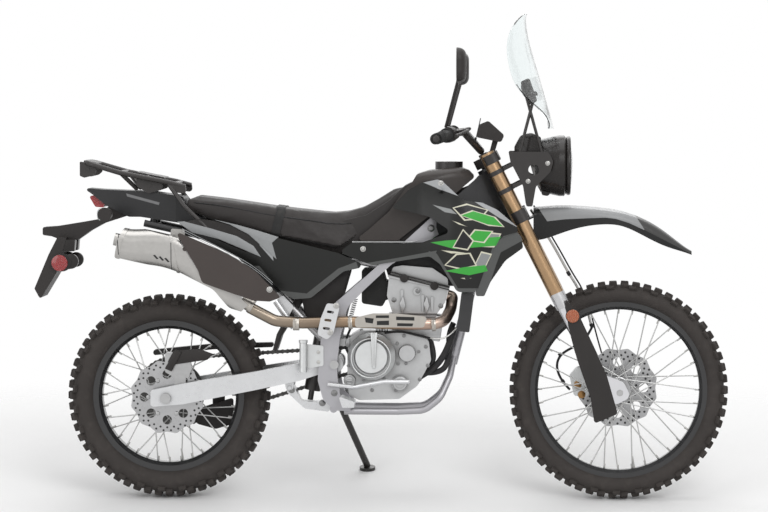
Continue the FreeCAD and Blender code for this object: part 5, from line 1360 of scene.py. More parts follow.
@dataclass
class Tyre:
    """A knobbly tyre: a round carcass, ribs at the bead, and rows of knobs made for one pitch and copied."""

    name: str
    body: str
    centre: Vector
    radius: float
    half_width: float
    bead: float
    pitches: int
    rows: tuple[KnobRow, KnobRow]
    tall: float = 12.0
    root: float = 7.0

    def drop(self, side: float) -> float:
        """How far the crown has fallen at a side offset, in millimetres."""
        return self.half_width * 0.55 * (abs(side) / self.half_width) ** 2.6

    def carcass(self) -> bpy.types.Object:
        """The tyre under its knobs.

        Returns:
            The object.
        """
        foot = self.bead - 9.0
        crown = self.radius - self.tall
        item = doughnut(self.name, self.centre, LEFT, (foot + crown) / 2, (crown - foot) / 2,
                        self.half_width * 0.88, sides=96)
        ribs = []
        for way in SIDES:
            middle = self.centre + at(0, way * self.half_width * 0.60, 0)
            ribs.append(doughnut("rib", middle, LEFT, self.bead + 7.0, 2.2, sides=96))
        return merged(self.name, [item, *ribs])

    def knob(self, side: float, width: float, angle: float, long: float) -> bpy.types.Object:
        """One knob, tapered and rounded, square to the crown under it.

        Args:
            side: its side offset, in millimetres.
            width: its width, in millimetres.
            angle: where it is round the tyre, in radians.
            long: its length, in millimetres.

        Returns:
            The knob.
        """
        fall = math.atan2(self.drop(abs(side) + 4) - self.drop(abs(side) - 4), 8.0) * math.copysign(1.0, side)
        if side == 0:
            fall = 0.0
        middle = self.centre + at(self.radius - self.drop(side), side, 0)
        nothing_selected()
        bpy.ops.mesh.primitive_cube_add(size=1.0)
        item = bpy.context.object
        tall = self.tall + self.root
        item.scale = Vector((tall, width, long)) * MM
        settle(item)
        for vertex in item.data.vertices:
            if vertex.co.x > 0:
                vertex.co.y *= 0.86
                vertex.co.z *= 0.84
            vertex.co.x -= tall / 2 * MM
        rounded(item, 1.2, 1)
        item.data.transform(Matrix.Translation(middle) @ Matrix.Rotation(fall, 4, "Z"))
        turn = Matrix.Rotation(-angle, 4, "Y")
        item.data.transform(Matrix.Translation(self.centre) @ turn @ Matrix.Translation(-self.centre))
        return item

    def build(self) -> None:
        """Makes the tyre and sets it in the place of the CAD's."""
        pitch = math.tau / self.pitches
        knobs = []
        for index, row in enumerate(self.rows):
            for side, width in zip(row.sides, row.widths):
                for way in ((1.0,) if side == 0 else SIDES):
                    stagger = 0.16 if side > self.half_width * 0.75 else 0.0
                    angle, long = pitch * (0.5 * index + stagger), 0.5 * pitch * self.radius * 0.72
                    knobs.append(self.knob(side * way, width, angle, long))
        ring = around("knobs", merged("row", knobs), self.pitches, self.centre, LEFT)
        tyre = merged(self.name, [self.carcass(), ring])
        done(tyre, self.body, TYRE_RUBBER, instead_of=(self.name,))


@dataclass
class WheelTrim:
    """The small parts of a wheel: spoke nipples, a valve and the disc's buttons."""

    name: str
    body: str
    centre: Vector
    bore: float
    spokes: int
    disc_side: float
    buttons: float

    def build(self) -> None:
        """Makes nipples, valve and buttons."""
        foot, top = self.centre + at(self.bore - 14.0, 3.0, 0), self.centre + at(self.bore + 3.0, 3.0, 0)
        nipple = rod("nipple", foot, top, 2.6, 3.4, 10)
        ring = around(self.name + "_nipples", nipple, self.spokes, self.centre, LEFT)
        foot, top = at(self.bore * 0.2, 0, -self.bore + 2), at(self.bore * 0.2 - 6, 0, -self.bore + 42)
        valve = rod("valve", self.centre + foot, self.centre + top, 3.6, 2.6, 16)
        done(merged(self.name + "_nipples", [ring, valve]), self.body, ZINC)
        way = math.copysign(1.0, self.disc_side)
        face = self.disc_side + way * 2.2
        foot, top = at(self.buttons, face - way, 0), at(self.buttons, face + way * 3.4, 0)
        button = rod("button", self.centre + foot, self.centre + top, 7.5, 6.0, 24, 0.6)
        done(around(self.name + "_buttons", button, 6, self.centre, LEFT), self.body, STEEL)


# Chain


@dataclass
class Chain:
    """A roller chain round its two sprockets, one outer and one inner link modelled and copied."""

    front_radius: float = 35.7
    rear_radius: float = 111.3
    side: float = 73.0
    pitch: float = 15.875
    plate: float = 1.8
    pin: float = 2.6

    @property
    def span(self) -> Vector:
        """The line from the rear sprocket's axle to the front one's, in metres."""
        return OUTPUT - REAR_HUB

    @property
    def tilt(self) -> float:
        """How far the straight runs turn from that line, in radians."""
        return math.asin((self.rear_radius - self.front_radius) * MM / self.span.length)

    def path(self, distance: float) -> Vector:
        """The point of the chain's line at a distance along it.

        Args:
            distance: how far along, in metres, from where the upper run leaves the rear sprocket.

        Returns:
            The point, on the motorcycle's middle plane.
        """
        slope, tilt = math.atan2(self.span.z, self.span.x), self.tilt
        run = self.span.length * math.cos(tilt)
        big, small = self.rear_radius * MM, self.front_radius * MM
        arc = small * (math.pi - 2 * tilt)
        top = slope + math.pi / 2 - tilt
        low = slope - math.pi / 2 + tilt
        if distance < run:
            return on_circle(REAR_HUB, big, top).lerp(on_circle(OUTPUT, small, top), distance / run)
        distance -= run
        if distance < arc:
            return on_circle(OUTPUT, small, top - distance / small)
        distance -= arc
        if distance < run:
            return on_circle(OUTPUT, small, low).lerp(on_circle(REAR_HUB, big, low), distance / run)
        return on_circle(REAR_HUB, big, low - (distance - run) / big)

    def length(self) -> float:
        """The length of the chain's line."""
        arcs = self.front_radius * (math.pi - 2 * self.tilt) + self.rear_radius * (math.pi + 2 * self.tilt)
        return 2 * self.span.length * math.cos(self.tilt) + arcs * MM

    def link(self, name: str, pitch: float, offset: float, radius: float) -> bpy.types.Object:
        """One link with its two plates and its pins or rollers.

        Args:
            name: the object's name.
            pitch: its length between the pins, in metres.
            offset: the plates' side offset, in millimetres.
            radius: the radius of its pins or rollers, in millimetres.

        Returns:
            The link, along the X axis from the origin.
        """
        parts = []
        for way in SIDES:
            for end in (0.0, pitch):
                inner, outer = (Vector((end, way * side * MM, 0)) for side in (offset, offset + self.plate))
                parts.append(rod("cheek", inner, outer, 6.6, sides=16))
            middle = Vector((pitch / 2, way * (offset + self.plate / 2) * MM, 0))
            parts.append(block("web", middle, (pitch / MM, self.plate, 9.6)))
        for end in (0.0, pitch):
            inner, outer = (Vector((end, way * (offset + self.pin) * MM, 0)) for way in SIDES)
            parts.append(rod("roller", inner, outer, radius, sides=12))
        return merged(name, parts)

    def build(self) -> None:
        """Makes the chain in the place of the CAD's loop."""
        total = self.length()
        count = 2 * round(total / (2 * self.pitch * MM))
        pitch = total / count
        models = (self.link("outer_link", pitch, 5.9, 2.6), self.link("inner_link", pitch, 3.6, 5.0))
        links = []
        for index in range(count):
            start, end = self.path(index * pitch), self.path(((index + 1) % count) * pitch)
            way = end - start
            turn = Matrix.Rotation(-math.atan2(way.z, way.x), 4, "Y")
            links.append(copied(models[index % 2], Matrix.Translation(start + at(0, self.side, 0)) @ turn))
        for model in models:
            bpy.data.objects.remove(model)
        done(merged("chain_links", links), "chassis", DARK_STEEL, instead_of=("chain",))


# Seat


@dataclass
class Seat:
    """The padded seat: the CAD's form swelled as cloth, with a sewn seam and a strap across it."""

    voxel: float = 6.0
    slack: float = 1.2
    cap: float = 6.0
    pressure: float = 4.0
    frames: int = 20
    strap_width: float = 30.0
    strap_thick: float = 3.5
    piping_thick: float = 3.2

    def swelled(self) -> bpy.types.Object:
        """The seat's form as a filled cover.

        Returns:
            The cover, in the frame of the CAD.
        """
        item = bpy.data.objects["seat"].copy()
        item.data = item.data.copy()
        item.parent = None
        item.matrix_world = Matrix.Identity(4)
        bpy.context.collection.objects.link(item)
        item.hide_render = item.hide_viewport = False
        item.name = item.data.name = "seat_cover"
        for key in list(item.keys()):
            del item[key]
        chosen(item, edit=True)
        bpy.ops.mesh.remove_doubles(threshold=0.0002)
        bpy.ops.object.mode_set(mode="OBJECT")
        apply(item, "REMESH", mode="VOXEL", voxel_size=self.voxel * MM)
        apply(item, "DISPLACE", strength=-self.slack * MM, mid_level=0.0)
        rest = [vertex.co.copy() for vertex in item.data.vertices]
        cloth = item.modifiers.new("Cover", "CLOTH")
        cloth.settings.use_pressure = True
        cloth.settings.uniform_pressure_force = self.pressure
        cloth.settings.effector_weights.gravity = 0.0
        scene = bpy.context.scene
        for number in range(1, self.frames + 1):
            scene.frame_set(number)
        chosen(item)
        bpy.ops.object.modifier_apply(modifier=cloth.name)
        scene.frame_set(1)
        for vertex, before in zip(item.data.vertices, rest):
            move = vertex.co - before
            if move.length > self.cap * MM:
                vertex.co = before + move.normalized() * self.cap * MM
        apply(item, "SMOOTH", factor=0.5, iterations=3)
        return item

    def seam(self, cover: bpy.types.Object) -> bpy.types.Object:
        """The piping that joins the top panel to the sides, laid on the cover.

        Args:
            cover: the seat's cover.

        Returns:
            The piping.
        """
        line = ((196, 201), (212, 203), (232, 206), (252, 210), (275, 214.5), (300, 217.5), (325, 220.5),
                (342, 221.5), (358, 219), (374, 211), (390, 199), (404, 187))
        runs = [[seen(px, py, way * 100.0) for px, py in line] for way in SIDES]
        item = merged("seat_piping", [hose("piping_path", run, 0.6) for run in runs])
        item.data.transform(PARKED)
        apply(item, "SHRINKWRAP", target=cover, wrap_method="NEAREST_SURFACEPOINT", offset=0.0006)
        apply(item, "SOLIDIFY", thickness=self.piping_thick * MM, offset=0.0)
        return item

    def strap(self, cover: bpy.types.Object) -> bpy.types.Object:
        """The strap laid across the cover.

        Args:
            cover: the seat's cover.

        Returns:
            The strap.
        """
        path = [shown(273, 240, -118), shown(277, 224, -116), shown(281, 209, -104), seen(282.5, 202, -66),
                seen(283, 201, 0)]
        path += [Vector((point.x, -point.y, point.z)) for point in path[-2::-1]]
        nothing_selected()
        bpy.ops.mesh.primitive_grid_add(x_subdivisions=6, y_subdivisions=80, size=1.0)
        item = bpy.context.object
        for vertex in item.data.vertices:
            along = (vertex.co.y + 0.5) * (len(path) - 1)
            index = min(int(along), len(path) - 2)
            point = path[index].lerp(path[index + 1], along - index)
            vertex.co = PARKED @ (point + Vector((vertex.co.x * self.strap_width * MM, 0.0, 0.0)))
        item.name = item.data.name = "seat_strap"
        apply(item, "SHRINKWRAP", target=cover, wrap_method="NEAREST_SURFACEPOINT", offset=0.0015)
        apply(item, "SMOOTH", factor=0.5, iterations=2)
        apply(item, "SOLIDIFY", thickness=self.strap_thick * MM, offset=0.0)
        return item

    def build(self) -> None:
        """Makes the cover and lays its seam."""
        cover = self.swelled()
        piping, strap = self.seam(cover), self.strap(cover)
        apply(cover, "SUBSURF", levels=1, render_levels=1)
        cover.data.materials.clear()
        cover.data.materials.append(SEAT_VINYL.material())
        chosen(cover)
        bpy.ops.object.shade_smooth()
        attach(cover, "chassis")
        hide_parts("seat")
        LOG.info("seat_cover: %d faces", len(cover.data.polygons))
        done(piping, "chassis", HOSE_RUBBER, Place.PARKED)
        done(strap, "chassis", GRIP_RUBBER, Place.PARKED)


# Trim of the chassis


@dataclass(frozen=True)
class Plate:
    """A plate of the chassis, drawn in the side view between two side offsets."""

    name: str
    outline: Outline
    low: float
    high: float
    edge: float
    finish: Finish = BLACK_PLASTIC
    slot: str = "black_plastic"
    mirrored: bool = False

    def build(self) -> None:
        """Makes the plate, with its mirror image where it has one."""
        item = prism(self.name, self.outline, self.low, self.high, self.edge)
        done(both_sides(self.name, item) if self.mirrored else item, "chassis", self.finish)


BARREL_FOOT = Plate("barrel_foot", ((388, 314), (444, 316), (440, 342), (394, 336)), -58, 40, 3.0, ALLOY,
                    "engine_alloy")
FILLERS = (
    Plate("seat_pan", ((200, 203), (230, 209), (262, 215), (300, 219), (340, 221), (366, 215), (388, 201),
                       (404, 186), (414, 181), (414, 187), (404, 200), (390, 214), (372, 233), (352, 251),
                       (338, 255), (310, 249), (285, 243), (255, 235), (222, 226), (205, 218)), -78, 78, 3.0),
    Plate("tank_liner", ((392, 243), (404, 236), (418, 220), (432, 207), (462, 210), (455, 226), (436, 228),
                         (414, 243)),
          -70, 70, 2.0),
    Plate("under_tank", ((383, 259), (388, 276), (394, 276), (404, 268), (434, 271), (449, 286), (455, 286),
                         (448, 268), (434, 252), (410, 252)), -48, 48, 3.0, HOSE_RUBBER),
    Plate("head_liner", ((452, 192), (458, 207), (482, 214), (494, 180), (486, 171), (478, 176), (470, 185)),
          -34, 34, 3.0),
    Plate("side_trim", ((352, 241.4), (352, 243.0), (412, 243.0), (418, 240.5), (412, 241.4)), -110, -60,
          0.6, ALLOY, "silver_panel", mirrored=True),
    Plate("tail_side", ((178, 224), (196, 219), (214, 221), (240, 227), (278, 238.5), (284, 250), (268, 264),
                        (240, 250), (212, 238)), -127, -112, 2.0, GLOSS_BLACK, mirrored=True),
    Plate("airbox_base", ((302, 262), (300, 294), (305, 317), (318, 321), (331, 315), (343, 296), (350, 272),
                          (344, 262)),
          -64, -46, 4.0, mirrored=True),
    Plate("splash_guard", ((298, 292), (305, 297), (291, 321), (281, 337), (276, 352), (272, 351), (276, 335),
                           (285, 318)), -48, 48, 2.0))


@dataclass
class EngineTrim:
    """What is bolted to the engine's cases and runs round them."""

    clutch: tuple[float, float] = (372.8, 355.0)
    clutch_bolts: float = 27.0
    generator: tuple[float, float] = (401.0, 361.0)
    generator_bolts: float = 20.0
    right: Skin = field(default_factory=lambda: Skin(("crankcase", "clutch_cover", "cylinder", "main_frame")))

    def bolts(self) -> None:
        """Sets the bolts of the cases."""
        hardware = Hardware("engine_bolts", "chassis", finish=BOLT_STEEL)
        for points, size, kind in (
                (circle(*self.clutch, self.clutch_bolts, 20, 8), 4.2, Head.SOCKET),
                (((353, 385), (372, 391), (396, 391), (420, 380), (428, 366), (426, 347), (404, 336)), 4.6,
                 Head.HEX),
                (((397, 344), (419, 352), (406, 364)), 3.8, Head.SOCKET),
                (((418, 291), (394, 300), (441, 306)), 6.0, Head.HEX),
                (((334, 394), (345, 318)), 8.0, Head.HEX)):
            self.right.studs(hardware, points, size, kind)
        left = Skin(("crankcase", "generator_cover"))
        left.studs(hardware, circle(*self.generator, self.generator_bolts, 10, 6), 4.2, Head.SOCKET, 1.0)
        left.studs(hardware, ((355, 385), (372, 392), (398, 391), (420, 378), (424, 344), (352, 342)), 4.6,
                   Head.HEX, 1.0)
        hardware.build()

    def covers(self) -> None:
        """Makes the clutch cover's bar and rim, and the oil caps."""
        face = Skin(("clutch_cover",)).side(373, 350)[0].y / MM
        outline = ((370.6, 333), (372.4, 369), (375.2, 369), (377, 333))
        bar = prism("clutch_bar", outline, face - 3.5, face + 3.0, 1.0)
        outline = ((373.2, 334), (373.5, 366), (374.3, 366), (374.6, 334))
        spine = prism("clutch_spine", outline, face - 5.5, face, 0.5)
        rim = doughnut("clutch_ring", seen(*self.clutch, face + 3.0), LEFT, 62.0, 2.2, sides=72)
        done(merged("clutch_bar", [bar, spine, rim]), "chassis", BRIGHT_ALLOY)
        caps = []
        for px, py, radius in ((349.5, 381, 20.0), (400, 384, 24.0)):
            foot, _ = self.right.side(px, py)
            caps.append(rod("cap", foot + at(0, 2, 0), foot + at(0, -6, 0), radius, radius * 0.9, 40, 1.2))
            caps.append(rod("boss", foot + at(0, -5, 0), foot + at(0, -9, 0), radius * 0.62, radius * 0.58,
                            32, 0.8))
            caps.append(block("grip", foot + at(0, -10, 0), (radius * 0.9, 5.0, 4.5), 1.0))
        done(merged("oil_caps", caps), "chassis", ALLOY)

    def head_trim(self) -> None:
        """Makes the gasket's lines and plugs, the head's flutes and the barrel's foot."""
        ribs, flutes = [], []
        for top, low in ((271.2, 272.3), (274.2, 275.2)):
            outline = ((389, top), (449.5, top + 15.2), (449.5, low + 15.2), (389, low))
            ribs.append(prism("rib", outline, -81.5, -70, 0.3))
        for px, py in ((405, 277.0), (435, 284.5)):
            ribs.append(rod("plug", seen(px, py, -70), seen(px, py, -81.8), 13.0, sides=32, edge=0.6))
        done(merged("head_gasket", ribs), "chassis", BLACK_PLASTIC)
        for px in (403, 427):
            outline = ((px, 296), (px - 3.2, 304), (px - 0.8, 314), (px + 2.6, 306))
            flutes.append(prism("flute", outline, -82.5, -76, 1.6))
        done(merged("head_flutes", flutes), "chassis", ALLOY)
        BARREL_FOOT.build()

    def hoses(self) -> None:
        """Makes the coolant hoses, the breather, the drain and the cables' boots."""
        runs = (("coolant_lower", ((408, 384, -40), (420, 376, -52), (436, 366, -60), (446, 352, -60),
                                   (452, 336, -62), (455, 326, -64)), 10.5),
                ("coolant_upper", ((424, 372, -44), (437, 372, -50), (447, 366, -52), (450, 350, -46),
                                   (449, 332, -40), (454, 322, -44)), 9.5),
                ("coolant_pump", ((430, 338, -50), (434, 350, -58), (433, 362, -56), (424, 372, -44)), 10.5),
                ("breather", ((386, 331, -96), (398, 329, -100), (412, 331, -101), (431, 336, -98)), 3.6),
                ("drain", ((356, 318, -86), (348, 334, -88), (346, 346, -88), (350, 352, -86)), 4.0))
        tubes = [hose(name, [seen(*point) for point in points], radius) for name, points, radius in runs]
        done(merged("engine_hoses", tubes), "chassis", HOSE_RUBBER)
        drain = hose("drain_tail", [seen(429, 335.5, -98), seen(440, 337.5, -97), seen(450, 334, -90),
                                    seen(457, 326, -80)], 2.6)
        done(drain, "chassis", ZINC)
        boots = []
        for turn in range(9):
            middle = seen(356.5 - 0.5 * turn, 298.5 + 1.9 * turn, -84)
            boots.append(doughnut("coil", middle, Vector((-0.25, 0, 1)), 7.0, 1.3, sides=20))
        for turn in range(8):
            middle = seen(377.5 + 1.6 * turn, 328.5, -100)
            boots.append(doughnut("boot", middle, FORWARD, 5.2 - 0.2 * turn, 1.5, sides=20))
        done(merged("cable_boots", boots), "chassis", HOSE_RUBBER)

    def build(self) -> None:
        """Makes all of it."""
        self.bolts()
        self.covers()
        self.head_trim()
        self.hoses()


@dataclass
class BodyTrim:
    """Fasteners, fillers and pale panels of the bodywork."""

    def fasteners(self) -> None:
        """Sets the screws of the panels, the rack, the frame and the swingarm."""
        zinc = Hardware("panel_screws", "chassis")
        for way in SIDES:
            Skin(("shrouds",)).studs(zinc, ((363, 249), (441, 183)), 6.5, Head.BUTTON, way)
            Skin(("luggage_rack",)).studs(zinc, ((210, 221.5),), 5.5, Head.BUTTON, way)
        Skin(("heat_panel",)).studs(zinc, ((269, 290),), 7.0, Head.BUTTON)
        Skin(("footrests",)).studs(zinc, ((336, 306), (330, 333)), 7.0, Head.SOCKET)
        Skin(("master_cylinder",)).studs(zinc, ((316, 343), (318, 353), (318, 363)), 4.0, Head.SOCKET)
        zinc.build()
        frame_bolts = Hardware("frame_bolts", "chassis", finish=BOLT_STEEL)
        Skin(("linkage", "swingarm", "main_frame")).studs(frame_bolts, ((291, 391), (322, 404)), 8.0)
        spot, facing = Skin(("main_frame",)).side(431, 228)
        head = frame_bolts.head(Head.SOCKET, 9.0)
        frame_bolts.heads.append(copied_once(head, Matrix.Translation(spot) @ toward(facing)))
        frame_bolts.build()
        eyes = []
        for way in SIDES:
            place, facing = Skin(("shrouds",)).side(467.5, 277.5, way)
            eyes.append(rod("eye", place - facing * 0.002, place + facing * 0.0008, 8.0, sides=32))
        done(merged("shroud_eyes", eyes), "chassis", HOSE_RUBBER)

    def tail_panels(self) -> None:
        """Makes the pale panels over the black ones at the tail, and the heat panel's seam."""
        upper = prism("upper_panel", ((214, 220), (229, 224.6), (248, 234.6), (263, 248), (276, 259.5),
                                      (271.5, 243), (278, 237.3), (256, 230.5), (236, 225)),
                                      -132.5, -120, 1.2)
        lower = prism("lower_panel", ((176, 222), (191, 232.6), (218, 239.4), (241, 249), (260.5, 257.4),
                                      (253, 246.3), (236, 236.3), (211, 229), (183, 221.7)),
                                      -132.5, -120, 1.2)
        done(both_sides("tail_panels", merged("panels", [upper, lower])), "chassis",
             PALE_PLASTIC)
        line = ((181, 229), (206, 241.5), (232, 254.5), (258, 269.5), (272, 283))
        seam = [hose("seam", [shown(px, py + drop, -209) for px, py in line], 0.9) for drop in (0.0, 2.2)]
        done(merged("heat_panel_seam", seam), "chassis", PALE_PLASTIC)

    def build(self) -> None:
        """Makes all of it."""
        self.fasteners()
        for plate in FILLERS:
            plate.build()
        self.tail_panels()


@dataclass
class TailTrim:
    """Lenses, reflectors and the plate's lamp at the tail."""

    indicator: tuple[float, float, float] = (-183.0, 168.0, 913.0)

    def build(self) -> None:
        """Makes all of it."""
        lenses = []
        for way in SIDES:
            x, y, z = self.indicator
            spot, _ = Skin(("rear_indicators",)).spot(at(x - 300, way * y, z), FORWARD)
            lenses.append(ball("lens", spot + at(3.0, 0, 0), (19.0, 19.0, 9.0), -FORWARD))
        done(merged("indicator_lenses", lenses), "chassis", CLEAR_LENS)
        red = rod("side_reflector", seen(60.5, 262.5, -74), seen(60.5, 262.5, -66), 26.0, 25.0, 48, 1.4)
        done(both_sides("side_reflector", red), "chassis", RED_LENS)
        holder = [rod("holder", seen(63, 262, -68), seen(63, 262, -58), 29.0, sides=48, edge=1.0),
                  rod("stay", seen(71.5, 261, -66), seen(71.5, 261, -52), 24.0, sides=40, edge=1.0),
                  prism("lamp_block", ((55, 240), (55, 252), (72, 252), (73, 240)), -60, -20, 2.0)]
        done(both_sides("plate_lamp", merged("holder", holder)), "chassis", GLOSS_BLACK)
        edge = prism("lamp_edge", ((53.6, 240.5), (53.6, 251.5), (55.6, 251.5), (55.6, 240.5)), -58, 58, 1.0)
        done(edge, "chassis", RED_LENS)


@dataclass
class ExhaustTrim:
    """Clamps and joint of the exhaust, and the rear brake's guard."""

    def build(self) -> None:
        """Makes all of it."""
        bands = []
        for low, high in (((350.5, 319.8), (354.5, 319.6)), ((433, 321.6), (437, 321.4)),
                          ((296, 321), (302, 321))):
            bands.append(rod("clamp", seen(*low, -150), seen(*high, -150), 20.5, sides=48, edge=0.6))
            foot, top = (seen(low[0] + 1.5, low[1] + reach, -172) for reach in (3, -5))
            bands.append(rod("screw", foot, top, 3.0, sides=16))
        bands.append(rod("joint", shown(241, 300.5, -150), shown(252, 307, -150), 20.5, 22.5, 48, 0.8))
        bands.append(rod("lip", shown(249, 305.5, -150), shown(252.5, 307.5, -150), 24.5, 24.5, 48, 0.8))
        done(merged("exhaust_clamps", bands), "chassis", SHIELD_STEEL)
        guard = [prism("shield", ((166, 363), (172, 366), (206, 361), (212, 355), (198, 350), (172, 352)),
                       -96, -92, 1.0),
                 prism("stay", ((163, 370), (170, 373), (180, 353), (174, 351)), -101, -94, 1.5)]
        done(merged("brake_guard", guard), "chassis", BLACK_PLASTIC)


# Trim of the steering


@dataclass
class Headlamp:
    """The lamp's bowl, bulb and bulged glass, and the screws of its plates."""

    face: Vector = field(default_factory=lambda: at(1276.0, 0.0, 1064.0))
    radius: float = 84.0

    def build(self) -> None:
        """Makes the lamp's front."""
        spot, _ = Skin(("headlight",)).spot(self.face + at(300, 0, 0), -FORWARD)
        bowl = rod("lamp_bowl", spot - FORWARD * 0.004, spot + FORWARD * 0.001, self.radius, self.radius, 96)
        sunk(bowl, FORWARD, ((0.012, 0.0012), (0.022, 0.0012), (0.022, 0.0004)))
        done(bowl, "steering", CHROME)
        bulb = ball("lamp_bulb", spot + FORWARD * 0.002, (16.0, 16.0, 6.0), FORWARD)
        done(bulb, "steering", CLEAR_LENS)
        glass = ball("lamp_glass", spot, (self.radius, self.radius, 13.0), FORWARD)
        done(glass, "steering", GLASS)
        ring = doughnut("lamp_ring", spot, FORWARD, self.radius + 5.0, 5.0, 7.0, 96)
        done(ring, "steering", GLOSS_BLACK)
        screws = Hardware("lamp_screws", "steering")
        plates = Skin(("headlight", "screen_bracket"))
        for way in SIDES:
            plates.studs(screws, ((547.5, 163), (528, 181)), 5.5, Head.BUTTON, way)
        screws.build()


@dataclass
class Cockpit:
    """The instrument's face, the mirrors' glass and the grips' ribs."""

    mirror: tuple[float, float] = (385.0, 1375.0)
    grip_ends: tuple[tuple[float, float, float], ...] = ((894.0, 292.0, 1163.0), (866.0, 408.0, 1154.0))
    grip_ribs: int = 16

    def build(self) -> None:
        """Makes all of it."""
        spot, facing = Skin(("instrument",)).spot(at(600, 0, 1500), at(1030, 0, 1155) - at(600, 0, 1500))
        face = block("instrument_face", Vector(), (96.0, 62.0, 3.0), 1.2)
        place = Matrix.Translation(spot) @ toward(facing)
        keys = []
        for way in SIDES:
            key = rod("key", at(way * 20, -38, -2), at(way * 20, -38, 4), 5.5, sides=24, edge=0.8)
            keys.append(copied_once(key, place))
        done(copied_once(face, place), "steering", DISPLAY)
        done(merged("instrument_keys", keys), "steering", GRIP_RUBBER)
        glasses, ribs, ends = [], [], []
        for way in SIDES:
            spot, facing = Skin(("mirrors",)).spot(at(300, way * self.mirror[0], self.mirror[1]), FORWARD)
            glass = ball("glass", Vector(), (56.0, 38.0, 2.5))
            glasses.append(copied_once(glass, Matrix.Translation(spot) @ toward(facing)))
            inner, outer = (at(x, way * y, z) for x, y, z in self.grip_ends)
            along = (outer - inner).normalized()
            for step in range(self.grip_ribs):
                middle = inner.lerp(outer, (step + 0.5) / self.grip_ribs)
                ribs.append(doughnut("rib", middle, along, 16.2, 1.5, 2.4, 32))
            ribs.append(doughnut("flange", inner, along, 20.0, 3.0, 3.0, 40))
            ends.append(rod("bar_end", outer, outer + along * 0.006, 12.0, 10.0, 32, 1.0))
        done(merged("mirror_glasses", glasses), "steering", MIRROR)
        done(merged("grip_ribs", ribs), "steering", GRIP_RUBBER)
        done(merged("bar_ends", ends), "steering", BLACK_STEEL)


@dataclass
class ForkTrim:
    """Reflectors, brake hose, sensor lead and the front caliper's pistons."""

    upper_run: tuple[tuple[float, float, float], ...] = (
        (531, 210, 60), (545, 232, 84), (556, 250, 100), (569, 274, 108), (580, 291, 112), (589, 312, 112),
        (593, 330, 110))
    lower_run: tuple[tuple[float, float, float], ...] = (
        (593, 330, 110), (585, 346, 100), (572, 350, 92), (560, 358, 88), (557, 370, 86), (563, 384, 82),
        (571, 392, 76))
    lead_run: tuple[tuple[float, float, float], ...] = (
        (534, 206, 64), (549, 232, 92), (561, 252, 108), (573, 274, 116), (584, 291, 119), (592, 314, 118),
        (597, 334, 110), (602, 352, 98), (606, 366, 76), (608, 376, 62))

    def build(self) -> None:
        """Makes all of it."""
        disc = rod("reflector", seen(572, 313, -132), seen(572, 313, -126), 20.5, sides=48, edge=1.0)
        done(both_sides("fork_reflectors", disc), "steering", ORANGE_LENS)
        cup = rod("reflector_cup", seen(572, 313, -129), seen(572, 313, -124), 22.5, sides=48, edge=0.8)
        done(both_sides("reflector_cups", cup), "steering", BLACK_PLASTIC)
        upper, lower, lead = ([seen(*point) for point in run] for run in (self.upper_run, self.lower_run,
                                                                          self.lead_run))
        done(hose("brake_hose_upper", upper, 4.2), "steering", ZINC)
        parts = [hose("brake_hose_lower", lower, 4.0), hose("sensor_lead", lead, 2.6)]
        for px, py in ((569.5, 275), (593, 328)):
            parts.append(block("clip", seen(px, py, 112), (15.0, 20.0, 12.0), 2.0, 60.0))
        for px, py in ((582, 347), (561, 357), (564, 384)):
            parts.append(rod("ferrule", seen(px - 1.5, py + 1, 90), seen(px + 1.5, py - 1, 90), 6.0,
                             sides=20, edge=0.8))
        done(merged("fork_hoses", parts), "steering", HOSE_RUBBER)
        pistons = [rod("piston", seen(px, py, 44), seen(px, py, 95), 12.5, sides=32, edge=1.0)
                   for px, py in ((578.5, 386), (582.5, 396))]
        done(merged("brake_pistons", pistons), "steering", BRONZE)


# Nodes that keep the shape of the CAD


NODE_FINISH: dict[str, Finish] = {name: finish for finish, names in (
    (ARM_ALLOY, "brake_pedal footrests gear_pedal linkage swingarm"),
    (BRIGHT_ALLOY, "clutch_cover front_caliper master_cylinder"),
    (ALLOY, "crankcase cylinder generator_cover"), (HEADER, "exhaust_pipe"), (CHROME, "fork_inner_tubes"),
    (GOLD_TUBE, "fork_outer_tubes"), (STEEL, "front_axle pivot_bolt rear_axle rear_caliper"),
    (FENDER, "front_fender"), (FRONT_DISC, "front_hub"), (FRONT_RIM, "front_rim"),
    (DARK_STEEL, "front_sprocket rear_sprocket"),
    (BLACK_STEEL, "fuel_cap handlebar luggage_rack screen_bracket shock_absorber side_stand triple_clamps"),
    (TANK_PLASTIC, "fuel_tank"), (GRIP_RUBBER, "grips intake"), (GLOSS_BLACK, "headlight"),
    (HEAT_PANEL, "heat_panel"), (SHIELD_STEEL, "heat_shield"), (SILVER_FRAME, "main_frame"),
    (CORE, "radiators"), (REAR_DISC, "rear_hub"), (REAR_RIM, "rear_rim"), (SHROUD, "shrouds"),
    (SIDE_COVERS, "side_covers"), (CAN_STEEL, "silencer"), (TAIL_FRAME, "subframe"), (TAIL, "tail_fender"),
    (RED_LENS, "tail_lamp"), (SCREEN, "windscreen")
) for name in names.split()}


def dress_nodes() -> None:
    """Gives each CAD node that stays its finish."""
    for name in frame["nodes"]:
        item = bpy.data.objects[name]
        finish = NODE_FINISH.get(name, BLACK_PLASTIC)
        if not item.material_slots:
            item.data.materials.append(finish.material())
        for slot in item.material_slots:
            slot.material = finish.material()


# Studio


